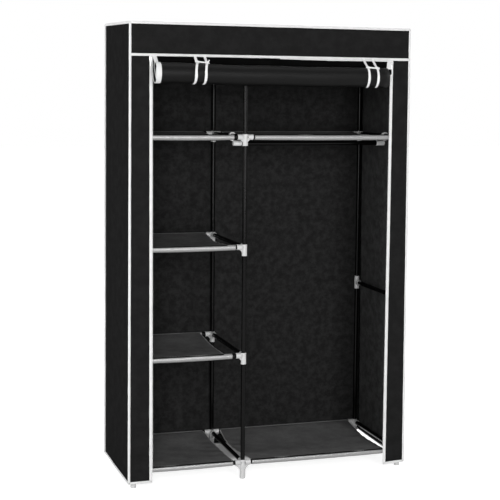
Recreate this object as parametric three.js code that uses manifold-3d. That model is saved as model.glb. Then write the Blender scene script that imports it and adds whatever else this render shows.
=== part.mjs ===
// A portable fabric wardrobe: a frame of steel tubes pushed into moulded plastic connectors, fabric
// shelves on cross tubes, a hanging rail on two sliding holders, and a sewn fabric cover whose front
// door is rolled up under the fascia and held by two pairs of ribbons.
// Millimetres. X runs to the right, Y to the back and Z up. The feet stand on z = 0, and the origin
// lies under the middle of the whole outer box, from the ribbons in front to the back of the cover.
import * as THREE from "three";
import { mergeVertices } from "three/addons/utils/BufferGeometryUtils.js";
import Module from "manifold-3d";

const wasm = await Module();
wasm.setup();

// Cover
const coverWidth = 1050;
const coverDepth = 450;
const coverHeight = 1640;
const clothWall = 1;
const hemHeight = 20; // from the floor to the lower hem
const fasciaDrop = 111; // from the roof to the lower edge of the fascia
const bandLeft = 74; // front bands beside the door opening
const bandRight = 72;

// Tubes and their levels
const tubeRadius = 8;
const tubeWall = 0.7;
const tubeInset = 16; // from the side of the cover to the middle of an outer post
const leftBay = 406; // from the left posts to the middle posts
const baseLevel = 60;
const shelfRise = 395; // from one shelf level to the next
const sideBarLevel = 640;

// Connectors
const socketWall = 1.7;
const armReach = 29; // from the post's axis to the mouth of a side arm
const dropReach = 32; // from the arms' axis to the mouth of the lower sleeve
const armFlare = 0.8; // how much wider an arm is at its mouth than at the hub
const finWall = 3.2;
const finLeg = 13; // the corner web under an arm, along the arm and down the sleeve
const footFinLeg = 19;
const footRadius = 9.5;
const footBase = 8.5; // radius at the floor
const footSeat = 9; // from the arms' axis down to the end of a post in a base connector
const sideSleeve = 26; // half the height of a side connector's sleeve

// Shelves
const hemWall = 1;
const tubeShow = 5; // bare tube between a connector's arm and the shelf's hem
const shelfCloth = 1;
const shelfSag = 13;
const edgeSagShare = 0.7; // of the sag, at the free side edges
const edgePull = 20; // how far a free side edge is drawn in at its middle

// Hanging rail
const railDrop = 28; // from the depth tubes down to the rail
const railForward = 45; // from mid-depth towards the front
const ringRadius = 13;
const ringWidth = 12;
const webWidth = 9;
const railSocketMouth = 26; // from the depth tube's axis
const railSocketEnd = 6; // its closed end, past the depth tube's axis
const railSocketFloor = 2; // where the rail stops inside it

// Rolled door
const rollDepth = 66;
const rollHeight = 74;
const rollTopDrop = 29; // from the fascia's lower edge to the top of the roll
const rollEndLeft = 10; // from the opening's edge to the end of the roll
const rollEndRight = 35;
const rollCore = 9; // radius at which the winding ends
const rollWall = 1.2; // a turn of cloth with its zip tape
const rollTurns = 5;

// Ribbons
const ribbonWidth = 9;
const ribbonWall = 0.8;
const ribbonSpread = 35; // from one ribbon of a pair to the other
const crossRibbon = 4;
const ribbonLap = 6; // how far a ribbon reaches up over the fascia's edge
const ribbonStartShare = 0.58; // of a half turn round the roll from its back, where a ribbon meets it
const ribbonEndShare = 1.58; // the same, where the ribbon ends underneath
const tieInsetLeft = 164; // from the opening's edge to the middle of a pair
const tieInsetRight = 97;

// Zip sliders and their pulls
const sliderWidth = 11;
const sliderWaist = 8;
const sliderHeight = 16;
const sliderDepth = 4;
const sliderDrop = 13; // from the fascia's lower edge to the middle of a slider
const bridgeRadius = 4.5;
const bridgeHole = 2.6;
const bridgeWidth = 2.4;
const pullWall = 1.6;
const pullWidth = 7.4;
const pullTip = 5;
const pullLength = 25;
const pullSlot = 5.6; // from the bar's axis to the end of the slot that clears the bridge
const pullPlay = 0.5; // on each side of the bridge
const barRadius = 0.9;
const barStandoff = 1.2; // from the slider's face to the axis of the pull's bar

// Clearances and fineness
const gap = 0.3; // between two pieces that touch or fit together
const overrun = 5; // how far a cut runs past what it cuts
const sides = 12; // sides of a tube or sleeve
const sheetSteps = 7; // steps across a shelf's cloth
const turnSteps = 20; // steps round one turn of the rolled door
const ribbonSteps = 14;

// Places that follow from those sizes
const boreRadius = tubeRadius + gap;
const socketRadius = boreRadius + socketWall;
const socketStop = boreRadius + socketWall + gap; // a side tube ends this far from the post's axis
const leftX = tubeInset - coverWidth / 2;
const middleX = leftX + leftBay;
const rightX = coverWidth / 2 - tubeInset;
const rearY = coverDepth / 2 - clothWall - gap - socketRadius - armFlare;
const frontY = -rearY;
const roofLevel = coverHeight - clothWall - gap - socketRadius - armFlare;
const [baseZ, lowerZ, upperZ, topZ] = [0, 1, 2, 3].map((step) => baseLevel + step * shelfRise);
const fasciaZ = coverHeight - fasciaDrop;
const frontPlane = -coverDepth / 2;
const openingLeft = bandLeft - coverWidth / 2;
const openingRight = coverWidth / 2 - bandRight;
const rollLeft = openingLeft + rollEndLeft;
const rollRight = openingRight - rollEndRight;
const rollY = frontPlane - gap - rollDepth / 2;
const rollZ = fasciaZ - rollTopDrop - rollHeight / 2;
const frontReach = gap + rollDepth + gap + ribbonWall; // all that stands in front of the cover

const right = new THREE.Vector3(1, 0, 0);
const left = new THREE.Vector3(-1, 0, 0);
const back = new THREE.Vector3(0, 1, 0);
const forward = new THREE.Vector3(0, -1, 0);
const up = new THREE.Vector3(0, 0, 1);

const tubeBlack = { color: 0x151516, roughness: 0.35, metalness: 0.6 };
const plasticWhite = { color: 0xe4e4e2, roughness: 0.45, metalness: 0 };
const shelfGrey = { color: 0x3c3c3e, roughness: 0.8, metalness: 0 };
const coverBlack = { color: 0x1c1c1d, roughness: 0.9, metalness: 0 };
const ribbonWhite = { color: 0xf0f0ee, roughness: 0.6, metalness: 0 };
const zipMetal = { color: 0xc9c9c7, roughness: 0.4, metalness: 0.5 };

const wardrobe = new THREE.Group();
const coverFrame = new THREE.Group(); // its origin is on the floor under the middle of the cover
coverFrame.position.y = frontReach / 2;
wardrobe.add(coverFrame);

// Building blocks

function at(x, y, z) {
  return new THREE.Vector3(x, y, z);
}

function solidOf(geometry) {
  const bare = geometry.clone();
  bare.deleteAttribute("normal");
  bare.deleteAttribute("uv");
  const merged = mergeVertices(bare);
  const vertProperties = merged.attributes.position.array;
  const triVerts = new Uint32Array(merged.index.array);
  return new wasm.Manifold(new wasm.Mesh({ numProp: 3, vertProperties, triVerts }));
}

function geometryOf(solid) {
  const { vertProperties, triVerts } = solid.getMesh();
  const geometry = new THREE.BufferGeometry();
  geometry.setAttribute("position", new THREE.BufferAttribute(vertProperties, 3));
  geometry.setIndex(new THREE.BufferAttribute(triVerts, 1));
  geometry.computeVertexNormals();
  return geometry;
}

function joined(solids) {
  return solids.reduce((sum, next) => sum.add(next));
}

function moved(solid, place) {
  return solid.translate(place.toArray());
}

function addPiece(name, solid, finish, place = at(0, 0, 0)) {
  const mesh = new THREE.Mesh(geometryOf(solid), new THREE.MeshStandardMaterial(finish));
  mesh.name = name;
  mesh.position.copy(place);
  coverFrame.add(mesh);
}

// A round bar from one point to another, with another radius at its end if it tapers
function bar(radius, start, end, endRadius = radius) {
  const way = end.clone().sub(start);
  const shape = new THREE.CylinderGeometry(endRadius, radius, way.length(), sides);
  shape.applyQuaternion(new THREE.Quaternion().setFromUnitVectors(back, way.normalize()));
  const middle = start.clone().add(end).multiplyScalar(0.5);
  shape.translate(middle.x, middle.y, middle.z);
  return solidOf(shape);
}

// A bar that starts and ends at two distances from a point, along one direction
function barAlong(way, radius, from, to) {
  return bar(radius, way.clone().multiplyScalar(from), way.clone().multiplyScalar(to));
}

function block(low, high) {
  const shape = new THREE.BoxGeometry(high.x - low.x, high.y - low.y, high.z - low.z);
  shape.translate((low.x + high.x) / 2, (low.y + high.y) / 2, (low.z + high.z) / 2);
  return solidOf(shape);
}

// An outline in the plane of two directions, made thick to both sides of that plane
function plate(outline, across, upward, thickness) {
  const shape = new THREE.ExtrudeGeometry(outline, { depth: thickness, bevelEnabled: false });
  shape.translate(0, 0, -thickness / 2);
  const through = across.clone().cross(upward);
  shape.applyMatrix4(new THREE.Matrix4().makeBasis(across, upward, through));
  return solidOf(shape);
}

function outlineOf(pairs) {
  return new THREE.Shape(pairs.map(([across, upward]) => new THREE.Vector2(across, upward)));
}

// Steel tubes

function addTube(name, start, end) {
  const past = end.clone().sub(start).normalize().multiplyScalar(overrun);
  const bore = bar(tubeRadius - tubeWall, start.clone().sub(past), end.clone().add(past));
  addPiece(name, bar(tubeRadius, start, end).subtract(bore), tubeBlack);
}

// Connectors, each round its own origin where the axes of its arms cross

function armOutside(way) {
  const mouth = way.clone().multiplyScalar(armReach);
  return bar(socketRadius, at(0, 0, 0), mouth, socketRadius + armFlare);
}

function armBore(way) {
  return barAlong(way, boreRadius, socketStop, armReach + overrun);
}

// The corner web under an arm, rooted half a socket's radius inside the sleeves that it joins
function fin(way, leg) {
  const root = socketRadius / 2;
  const reach = socketRadius + leg;
  return plate(outlineOf([[root, -root], [root, -reach], [reach, -root]]), way, up, finWall);
}

// Arms with webs under them, and a sleeve below that the post runs through
function sleeveConnector(arms) {
  const sleeve = barAlong(up, socketRadius, -dropReach, socketRadius);
  const postBore = barAlong(up, boreRadius, -dropReach - overrun, socketRadius + overrun);
  const webs = arms.map((way) => fin(way, finLeg));
  const outside = joined([sleeve, ...arms.map(armOutside), ...webs]);
  return outside.subtract(joined([postBore, ...arms.map(armBore)]));
}

// The same arms on a tapered foot, with a blind socket for the lower end of the post
function baseConnector(arms) {
  const hub = barAlong(up, socketRadius, -footSeat - socketWall, socketRadius);
  const foot = bar(footBase, at(0, 0, -baseLevel), at(0, 0, 0), footRadius);
  const postBore = barAlong(up, boreRadius, -footSeat, socketRadius + overrun);
  const webs = arms.map((way) => fin(way, footFinLeg));
  const outside = joined([hub, foot, ...arms.map(armOutside), ...webs]);
  return outside.subtract(joined([postBore, ...arms.map(armBore)]));
}

// A straight sleeve on a post, with one arm and a web above and below it
function sideConnector(way) {
  const sleeve = barAlong(up, socketRadius, -sideSleeve, sideSleeve);
  const postBore = barAlong(up, boreRadius, -sideSleeve - overrun, sideSleeve + overrun);
  const webs = fin(way, finLeg).add(fin(way, finLeg).mirror(up.toArray()));
  return joined([sleeve, armOutside(way), webs]).subtract(postBore.add(armBore(way)));
}

// Posts and their connectors

const columns = { left: leftX, middle: middleX, right: rightX };
const rows = { front: frontY, rear: rearY };
const inward = { front: back, rear: forward };
const sideArms = { left: [right], middle: [left, right], right: [left] };
const shelfLevels = { base: baseZ, lower: lowerZ, upper: upperZ, top: topZ };
const leftBayOnly = ["lower", "upper"]; // levels without a shelf in the right bay

function armsAt(level, column, row) {
  const onlyLeft = leftBayOnly.includes(level) && column === "middle";
  return [...(onlyLeft ? [left] : sideArms[column]), inward[row]];
}

for (const [row, y] of Object.entries(rows)) {
  for (const [column, x] of Object.entries(columns)) {
    const foot = at(x, y, baseZ - footSeat + gap);
    addTube(`post_${row}_${column}`, foot, at(x, y, roofLevel));
    for (const [level, z] of Object.entries(shelfLevels)) {
      if (leftBayOnly.includes(level) && column === "right") continue;
      const make = level === "base" ? baseConnector : sleeveConnector;
      const name = `connector_${level}_${row}_${column}`;
      addPiece(name, make(armsAt(level, column, row)), plasticWhite, at(x, y, z));
    }
  }
  const side = sideConnector(inward[row]);
  addPiece(`connector_side_${row}`, side, plasticWhite, at(rightX, y, sideBarLevel));
}

// Depth tubes, from the front connectors to the rear ones

function addDepthTube(name, x, z) {
  addTube(name, at(x, frontY + socketStop, z), at(x, rearY - socketStop, z));
}

for (const [level, z] of Object.entries(shelfLevels)) {
  for (const [column, x] of Object.entries(columns)) {
    if (leftBayOnly.includes(level) && column === "right") continue;
    addDepthTube(`depth_tube_${level}_${column}`, x, z);
  }
}
addDepthTube("depth_tube_side", rightX, sideBarLevel);

// Roof frame: the top connectors with the tubes pushed into them, under the cover's roof

function roofConnector(column, row) {
  const arms = [...sideArms[column], inward[row]];
  const sleeve = barAlong(up, socketRadius, -dropReach, socketRadius);
  return joined([sleeve, ...arms.map(armOutside), ...arms.map((way) => fin(way, finLeg))]);
}

function roofFrame() {
  const parts = [];
  const postBores = [];
  for (const [row, y] of Object.entries(rows)) {
    parts.push(bar(tubeRadius, at(leftX, y, 0), at(rightX, y, 0)));
    for (const [column, x] of Object.entries(columns)) {
      parts.push(moved(roofConnector(column, row), at(x, y, 0)));
      postBores.push(bar(boreRadius, at(x, y, -dropReach - overrun), at(x, y, gap)));
    }
  }
  for (const x of Object.values(columns)) {
    parts.push(bar(tubeRadius, at(x, frontY, 0), at(x, rearY, 0)));
  }
  return joined(parts).subtract(joined(postBores));
}

addPiece("roof_frame", roofFrame(), tubeBlack, at(0, 0, roofLevel));

// Shelves: a sagging cloth with a hem round a cross tube along its front and its rear

// The cloth's upper face leaves the tops of the tubes and hangs in a shallow bowl, and its two free
// side edges are drawn in as half a sine wave. The lower face is the upper one, a cloth's thickness down
function shelfSheet(start, end) {
  const positions = [];
  const faces = [];
  const row = sheetSteps + 1;
  for (const drop of [0, shelfCloth]) {
    for (let i = 0; i <= sheetSteps; i++) {
      for (let j = 0; j <= sheetSteps; j++) {
        const bow = Math.sin((Math.PI * j) / sheetSteps);
        const inset = edgePull * bow;
        const x = THREE.MathUtils.lerp(start + inset, end - inset, i / sheetSteps);
        const y = THREE.MathUtils.lerp(frontY, rearY, j / sheetSteps);
        const middle = Math.sin((Math.PI * i) / sheetSteps);
        const sag = shelfSag * bow * THREE.MathUtils.lerp(edgeSagShare, 1, middle);
        positions.push(x, y, tubeRadius - drop - sag);
      }
    }
  }
  const lower = row * row;
  const square = (a, b, c, d) => faces.push(a, b, c, a, c, d);
  for (let i = 0; i < sheetSteps; i++) {
    for (let j = 0; j < sheetSteps; j++) {
      const a = i * row + j;
      square(a, a + row, a + row + 1, a + 1);
      square(lower + a, lower + a + 1, lower + a + row + 1, lower + a + row);
    }
    const front = i * row;
    const rear = front + sheetSteps;
    square(front, lower + front, lower + front + row, front + row);
    square(rear, rear + row, lower + rear + row, lower + rear);
    const far = sheetSteps * row + i;
    square(i, i + 1, lower + i + 1, lower + i);
    square(far, lower + far, lower + far + 1, far + 1);
  }
  const geometry = new THREE.BufferGeometry();
  geometry.setAttribute("position", new THREE.Float32BufferAttribute(positions, 3));
  geometry.setIndex(faces);
  return solidOf(geometry);
}

function shelf(fromX, toX) {
  const hemStart = fromX + armReach + tubeShow;
  const hemEnd = toX - armReach - tubeShow;
  const parts = [shelfSheet(hemStart, hemEnd)];
  for (const y of Object.values(rows)) {
    parts.push(bar(tubeRadius, at(fromX + socketStop, y, 0), at(toX - socketStop, y, 0)));
    parts.push(bar(tubeRadius + hemWall, at(hemStart, y, 0), at(hemEnd, y, 0)));
  }
  return joined(parts);
}

for (const [level, z] of Object.entries(shelfLevels)) {
  addPiece(`shelf_${level}_left`, shelf(leftX, middleX), shelfGrey, at(0, 0, z));
  if (leftBayOnly.includes(level)) continue;
  addPiece(`shelf_${level}_right`, shelf(middleX, rightX), shelfGrey, at(0, 0, z));
}

// Hanging rail: a ring slides on each depth tube, and a web under it carries the rail's socket

function railHolder(towards) {
  const half = ringWidth / 2;
  const ring = barAlong(back, ringRadius, -half, half);
  const hole = barAlong(back, boreRadius, -half - overrun, half + overrun);
  const socket = barAlong(towards, socketRadius, -railSocketEnd, railSocketMouth);
  const socketBore = barAlong(towards, boreRadius, railSocketFloor, railSocketMouth + overrun);
  const under = at(0, 0, -railDrop);
  const web = block(at(-webWidth / 2, -half, -railDrop), at(webWidth / 2, half, -boreRadius - gap));
  const outside = joined([ring, moved(socket, under), web]);
  return outside.subtract(hole.add(moved(socketBore, under)));
}

const railPlace = at(0, -railForward, topZ);
addPiece("rail_holder_middle", railHolder(right), plasticWhite, railPlace.clone().setX(middleX));
addPiece("rail_holder_right", railHolder(left), plasticWhite, railPlace.clone().setX(rightX));
const railZ = topZ - railDrop;
const railStart = at(middleX + railSocketFloor + gap, -railForward, railZ);
addTube("hanging_rail", railStart, at(rightX - railSocketFloor - gap, -railForward, railZ));

// Cover: four sewn panels. Each side panel turns the corner into the band beside the opening

const sideTop = coverHeight - clothWall - gap;
const bandTop = fasciaZ - gap;
const backFace = coverDepth / 2 - clothWall;

function sidePanel(outer, edge) {
  const inner = outer - Math.sign(outer) * clothWall;
  const [low, high] = [Math.min(outer, inner), Math.max(outer, inner)];
  const [bandLow, bandHigh] = [Math.min(outer, edge), Math.max(outer, edge)];
  const bandBack = frontPlane + clothWall;
  const wall = block(at(low, bandBack + gap, hemHeight), at(high, backFace - gap, sideTop));
  const corner = block(at(low, frontPlane, hemHeight), at(high, bandBack + gap, bandTop));
  const band = block(at(bandLow, frontPlane, hemHeight), at(bandHigh, bandBack, bandTop));
  return joined([wall, corner, band]);
}

const halfWidth = coverWidth / 2;
addPiece("cover_side_left", sidePanel(-halfWidth, openingLeft), coverBlack);
addPiece("cover_side_right", sidePanel(halfWidth, openingRight), coverBlack);
const backLow = at(-halfWidth, backFace, hemHeight);
addPiece("cover_back", block(backLow, at(halfWidth, coverDepth / 2, sideTop)), coverBlack);
const roofLow = at(-halfWidth, frontPlane, coverHeight - clothWall);
const roofSheet = block(roofLow, at(halfWidth, coverDepth / 2, coverHeight));
const fasciaLow = at(-halfWidth, frontPlane, fasciaZ);
const fascia = block(fasciaLow, at(halfWidth, frontPlane + clothWall, coverHeight));
addPiece("cover_roof", roofSheet.add(fascia), coverBlack);

// A strip along a line of points, half its thickness to each side
function strip(points, thickness) {
  const edges = [1, -1].map((side) =>
    points.map((point, k) => {
      const before = points[Math.max(k - 1, 0)];
      const after = points[Math.min(k + 1, points.length - 1)];
      const way = after.clone().sub(before).normalize();
      const off = (side * thickness) / 2;
      return new THREE.Vector2(point.x - way.y * off, point.y + way.x * off);
    }),
  );
  return new THREE.Shape([...edges[0], ...edges[1].reverse()]);
}

// Rolled door: seen from its end, a loose oval spiral. The cloth hangs from the seam under the fascia,
// runs down behind the roll, under it and up its front, and winds inwards from there

function rolledDoor() {
  const outer = new THREE.Vector2(rollDepth - rollWall, rollHeight - rollWall).multiplyScalar(0.5);
  const inner = new THREE.Vector2(rollCore, rollCore);
  const steps = rollTurns * turnSteps;
  const points = [];
  for (let k = 0; k <= steps; k++) {
    const angle = (-2 * Math.PI * k) / turnSteps;
    const reach = outer.clone().lerp(inner, k / steps);
    points.push(new THREE.Vector2(reach.x * Math.cos(angle), reach.y * Math.sin(angle)));
  }
  const length = rollRight - rollLeft;
  const spiral = plate(strip(points, rollWall), back, up, length);
  const tailBack = rollY + rollDepth / 2;
  const tailLow = at(rollLeft, tailBack - rollWall, rollZ);
  const tail = block(tailLow, at(rollRight, tailBack, fasciaZ - gap));
  return tail.add(moved(spiral, at((rollLeft + rollRight) / 2, rollY, rollZ)));
}

addPiece("door_roll", rolledDoor(), coverBlack);

// Ribbons: each pair starts on the fascia, runs forward over the roll, down its front and under it

const offRoll = gap + ribbonWall / 2;

// A point outside the roll, at a share of a half turn from its back
function onRoll(share) {
  const angle = Math.PI * share;
  const across = (rollDepth / 2 + offRoll) * Math.cos(angle);
  return new THREE.Vector2(rollY + across, rollZ + (rollHeight / 2 + offRoll) * Math.sin(angle));
}

function tie() {
  const points = [
    new THREE.Vector2(frontPlane - gap - ribbonWall / 2, fasciaZ + ribbonLap),
    new THREE.Vector2(rollY + rollDepth / 2 - rollWall - gap - ribbonWall, fasciaZ - gap),
  ];
  for (let k = 0; k <= ribbonSteps; k++) {
    points.push(onRoll(THREE.MathUtils.lerp(ribbonStartShare, ribbonEndShare, k / ribbonSteps)));
  }
  const ribbon = plate(strip(points, ribbonWall), back, up, ribbonWidth);
  const cross = onRoll(ribbonStartShare);
  const half = ribbonSpread / 2;
  const bridgeLow = at(-half, cross.x - crossRibbon / 2, cross.y - ribbonWall / 2);
  const bridge = block(bridgeLow, at(half, cross.x + crossRibbon / 2, cross.y + ribbonWall / 2));
  return joined([moved(ribbon, at(-half, 0, 0)), moved(ribbon, at(half, 0, 0)), bridge]);
}

addPiece("tie_left", tie(), ribbonWhite, at(openingLeft + tieInsetLeft, 0, 0));
addPiece("tie_right", tie(), ribbonWhite, at(openingRight - tieInsetRight, 0, 0));

// Zip sliders: a shield-shaped body with a half-round bridge, and a pull whose bar lies in the bridge

function slider() {
  const [half, waist, tall] = [sliderWidth / 2, sliderWaist / 2, sliderHeight / 2];
  const shield = outlineOf([
    [-waist, -tall],
    [waist, -tall],
    [half, 0],
    [half, tall],
    [-half, tall],
    [-half, 0],
  ]);
  const shell = moved(plate(shield, right, up, sliderDepth), at(0, sliderDepth / 2, 0));
  const arch = new THREE.Shape();
  arch.absarc(0, 0, bridgeRadius, Math.PI / 2, Math.PI * 1.5, false);
  arch.absarc(0, 0, bridgeHole, Math.PI * 1.5, Math.PI / 2, true);
  return shell.add(moved(plate(arch, back, up, bridgeWidth), at(0, gap, 0)));
}

function pull() {
  const [half, tip] = [pullWidth / 2, pullTip / 2];
  const slot = bridgeWidth / 2 + pullPlay;
  const outline = outlineOf([
    [-half, 0],
    [-half, -pullSlot],
    [-tip, -pullLength],
    [tip, -pullLength],
    [half, -pullSlot],
    [half, 0],
  ]);
  const opening = outlineOf([
    [-slot, overrun],
    [-slot, -pullSlot],
    [slot, -pullSlot],
    [slot, overrun],
  ]);
  const cut = plate(opening, right, up, pullWall + overrun);
  const leaf = plate(outline, right, up, pullWall).subtract(cut);
  return leaf.add(barAlong(right, barRadius, -half, half));
}

const zips = { left: openingLeft, right: openingRight };
for (const [side, x] of Object.entries(zips)) {
  const face = at(x, frontPlane - gap - sliderDepth, fasciaZ - sliderDrop);
  addPiece(`zip_slider_${side}`, slider(), zipMetal, face);
  addPiece(`zip_pull_${side}`, pull(), zipMetal, face.clone().sub(at(0, barStandoff, 0)));
}

export default wardrobe;
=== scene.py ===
import math

import bmesh
import bpy
import numpy as np
from mathutils import Matrix, Vector


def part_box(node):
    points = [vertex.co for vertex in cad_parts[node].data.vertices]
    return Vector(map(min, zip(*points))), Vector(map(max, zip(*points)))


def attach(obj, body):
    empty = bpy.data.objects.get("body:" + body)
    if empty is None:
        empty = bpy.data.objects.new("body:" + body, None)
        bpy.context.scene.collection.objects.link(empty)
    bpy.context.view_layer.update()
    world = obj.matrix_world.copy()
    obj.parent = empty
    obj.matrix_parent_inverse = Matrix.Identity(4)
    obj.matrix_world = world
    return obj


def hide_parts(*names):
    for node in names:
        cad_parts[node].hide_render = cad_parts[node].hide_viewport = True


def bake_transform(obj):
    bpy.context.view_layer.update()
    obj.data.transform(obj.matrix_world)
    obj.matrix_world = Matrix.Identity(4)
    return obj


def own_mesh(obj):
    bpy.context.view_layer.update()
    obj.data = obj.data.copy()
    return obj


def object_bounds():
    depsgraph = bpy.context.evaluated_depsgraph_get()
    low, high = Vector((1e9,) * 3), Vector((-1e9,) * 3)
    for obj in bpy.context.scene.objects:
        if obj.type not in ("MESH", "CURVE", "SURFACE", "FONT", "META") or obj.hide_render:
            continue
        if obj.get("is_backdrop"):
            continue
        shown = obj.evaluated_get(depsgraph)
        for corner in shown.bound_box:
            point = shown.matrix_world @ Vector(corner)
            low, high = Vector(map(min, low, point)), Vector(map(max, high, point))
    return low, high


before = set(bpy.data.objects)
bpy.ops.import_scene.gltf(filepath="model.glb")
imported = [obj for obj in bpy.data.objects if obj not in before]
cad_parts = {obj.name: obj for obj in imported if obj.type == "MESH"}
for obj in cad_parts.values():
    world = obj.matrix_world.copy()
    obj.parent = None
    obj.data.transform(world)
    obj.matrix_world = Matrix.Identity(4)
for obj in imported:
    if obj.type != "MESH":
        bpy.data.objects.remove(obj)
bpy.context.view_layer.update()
print("frame loaded,", len(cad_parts), "CAD nodes")


def gridFaces(rows, columns, closedRows=False, closedColumns=False):
    # Vertex numbers of a grid's quads, and the grid steps of their four corners, for the uv.
    i, j = np.meshgrid(
        np.arange(rows if closedRows else rows - 1),
        np.arange(columns if closedColumns else columns - 1),
        indexing="ij",
    )
    steps = np.stack([i, j, i + 1, j, i + 1, j + 1, i, j + 1], -1).reshape(-1, 4, 2)
    return (steps[..., 0] % rows) * columns + steps[..., 1] % columns, steps


def shell(points, closedRows=False, closedColumns=False, uv=None, turned=False):
    # A surface from a grid of points. The uv grid, in metres, has one more row or column where the surface
    # closes on itself. A turned shell has its faces the other way round.
    rows, columns = points.shape[:2]
    faces, steps = gridFaces(rows, columns, closedRows, closedColumns)
    if uv is None:
        uv = np.stack(np.meshgrid(*[np.arange(n + 1.0) for n in (rows, columns)], indexing="ij"), -1) * 0.001
    corners = uv[steps[..., 0], steps[..., 1]]
    if turned:
        faces, corners = faces[:, ::-1], corners[:, ::-1]
    return points.reshape(-1, 3), faces, corners


def together(*parts):
    # Coordinates that are spread over one another's rows and columns and put together as points
    return np.stack(np.broadcast_arrays(*parts), -1)


def fullTurn(count):
    # Angles set evenly round a full turn
    return np.linspace(0, 2 * np.pi, count, endpoint=False)


def lengthAlong(path):
    # The way covered up to each point of a path
    return np.r_[0, np.cumsum(np.linalg.norm(np.diff(path, axis=0), axis=1))]


def capped(grid):
    # Closes a grid of rings at both ends by drawing a further ring together to the end ring's middle
    start, end = [ring.mean(1, keepdims=True).repeat(grid.shape[1], 1) for ring in (grid[:1], grid[-1:])]
    return np.concatenate([start, grid, end])


def makePiece(name, shells, material, slot=None, body="root", replaces=(), weld=0, smooth=True, crease=None):
    # One mesh object from several shells, riding on a body. Weld merges points closer than that.
    points = np.concatenate([s[0] for s in shells])
    starts = np.cumsum([0] + [len(s[0]) for s in shells[:-1]])
    faces = np.concatenate([s[1] + start for s, start in zip(shells, starts)])
    corners = np.concatenate([s[2] for s in shells])
    mesh = bpy.data.meshes.new(name)
    mesh.from_pydata(points, [], faces)
    mesh.uv_layers.new(name="UVMap").data.foreach_set("uv", corners.reshape(-1).astype(np.float32))
    mesh.materials.append(material)
    if weld:
        made = bmesh.new()
        made.from_mesh(mesh)
        bmesh.ops.remove_doubles(made, verts=made.verts, dist=weld)
        made.to_mesh(mesh)
        made.free()
    mesh.validate()
    if smooth:
        mesh.shade_smooth()
    if crease is not None:
        mesh.set_sharp_from_angle(angle=math.radians(crease))
    piece = bpy.data.objects.new(name, mesh)
    bpy.context.scene.collection.objects.link(piece)
    if body:
        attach(piece, body)
    if replaces:
        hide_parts(*replaces)
    return piece


def thicken(piece, thickness, offset=0.0):
    # Gives a surface a wall. The offset -1 lays it inside the surface, and 0 to both sides.
    wall = piece.modifiers.new("wall", "SOLIDIFY")
    wall.thickness = thickness
    wall.offset = offset
    return piece


def ringAround(start, way, distances, radii, sides):
    # A profile turned about an axis: at each distance along the axis from start, a circle of that radius.
    way = np.asarray(way, float)
    side = np.cross(way, [0, 0, 1.0]) if abs(way[2]) < 0.9 else np.array([1.0, 0, 0])
    side = side / np.linalg.norm(side)
    other = np.cross(way, side)
    turn = fullTurn(sides)[:, None]
    circle = np.cos(turn) * side + np.sin(turn) * other
    centre = np.asarray(start, float) + np.outer(distances, way)
    return centre[:, None] + np.asarray(radii, float)[:, None, None] * circle


# Steel tubes: the gap is between the sections of a post, the crease is in degrees
tubes = {"radius": 0.008, "wall": 0.0007, "rim": 0.0003, "sides": 40, "sectionGap": 0.0012, "crease": 35}


def tubeShell(start, end):
    # An open tube with its rims rounded off: up the outside, over the rim and back down the bore
    start, end = np.asarray(start, float), np.asarray(end, float)
    length = np.linalg.norm(end - start)
    rim, radius, inner = tubes["rim"], tubes["radius"], tubes["radius"] - tubes["wall"]
    along = np.array([0, rim, length - rim, length, length, length - rim, rim, 0])
    radii = np.array([radius - rim, radius, radius, radius - rim, inner + rim * 0.3, inner, inner, inner + rim * 0.3])
    return shell(ringAround(start, (end - start) / length, along, radii, tubes["sides"]), True, True, turned=True)


def sweep(path, section, uvWidth, turned=False):
    # A closed section carried along a path: its points' offsets are added to each point of the path
    uv = together(lengthAlong(path)[:, None], np.linspace(0, uvWidth, len(section) + 1)[None])
    return shell(path[:, None] + section, False, True, uv=uv, turned=turned)


def ripple(u, v, waves, seed):
    # Soft unevenness: a sum of sine waves with set directions, each (height, waves per metre).
    dice = np.random.default_rng(seed)
    total = np.zeros(np.broadcast(u, v).shape)
    for height, perMetre in waves:
        for _ in range(3):
            turn, phase = dice.uniform(0, 2 * np.pi, 2)
            total += height / 3 * np.sin(2 * np.pi * perMetre * (u * np.cos(turn) + v * np.sin(turn)) + phase)
    return total


def newNode(tree, kind, place, **settings):
    # A shader node at a column and row of the editor; settings are its properties or its inputs' values
    made = tree.nodes.new(kind)
    made.location = (place[0] * 190, -place[1] * 170)
    for name, value in settings.items():
        if name in made.bl_rna.properties:
            setattr(made, name, value)
        else:
            made.inputs[name].default_value = value
    return made


def calculate(tree, place, operation, *values):
    # A Math node whose inputs are numbers or other nodes' outputs.
    made = newNode(tree, "ShaderNodeMath", place, operation=operation)
    for socket, value in zip(made.inputs, values):
        if isinstance(value, (int, float)):
            socket.default_value = value
        else:
            tree.links.new(value, socket)
    return made.outputs[0]


def newGroup(name, colours, values):
    # An effect group: a vector, colours and values go in, and a colour, a roughness and a height come out
    tree = bpy.data.node_groups.new(name, "ShaderNodeTree")
    sockets = [("INPUT", "Vector", "NodeSocketVector")]
    sockets += [("INPUT", socket, "NodeSocketColor") for socket in colours]
    sockets += [("INPUT", socket, "NodeSocketFloat") for socket in values]
    sockets += [("OUTPUT", "Colour", "NodeSocketColor")]
    sockets += [("OUTPUT", socket, "NodeSocketFloat") for socket in ("Roughness", "Height")]
    for way, socket, kind in sockets:
        tree.interface.new_socket(name=socket, in_out=way, socket_type=kind)
    given, out = newNode(tree, "NodeGroupInput", (-6, 0)), newNode(tree, "NodeGroupOutput", (6, 0))
    return tree, given.outputs, out.inputs


def splitVector(tree, place, vector):
    # A vector's x, y and z as three outputs
    made = newNode(tree, "ShaderNodeSeparateXYZ", place)
    tree.links.new(vector, made.inputs[0])
    return made.outputs


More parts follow.
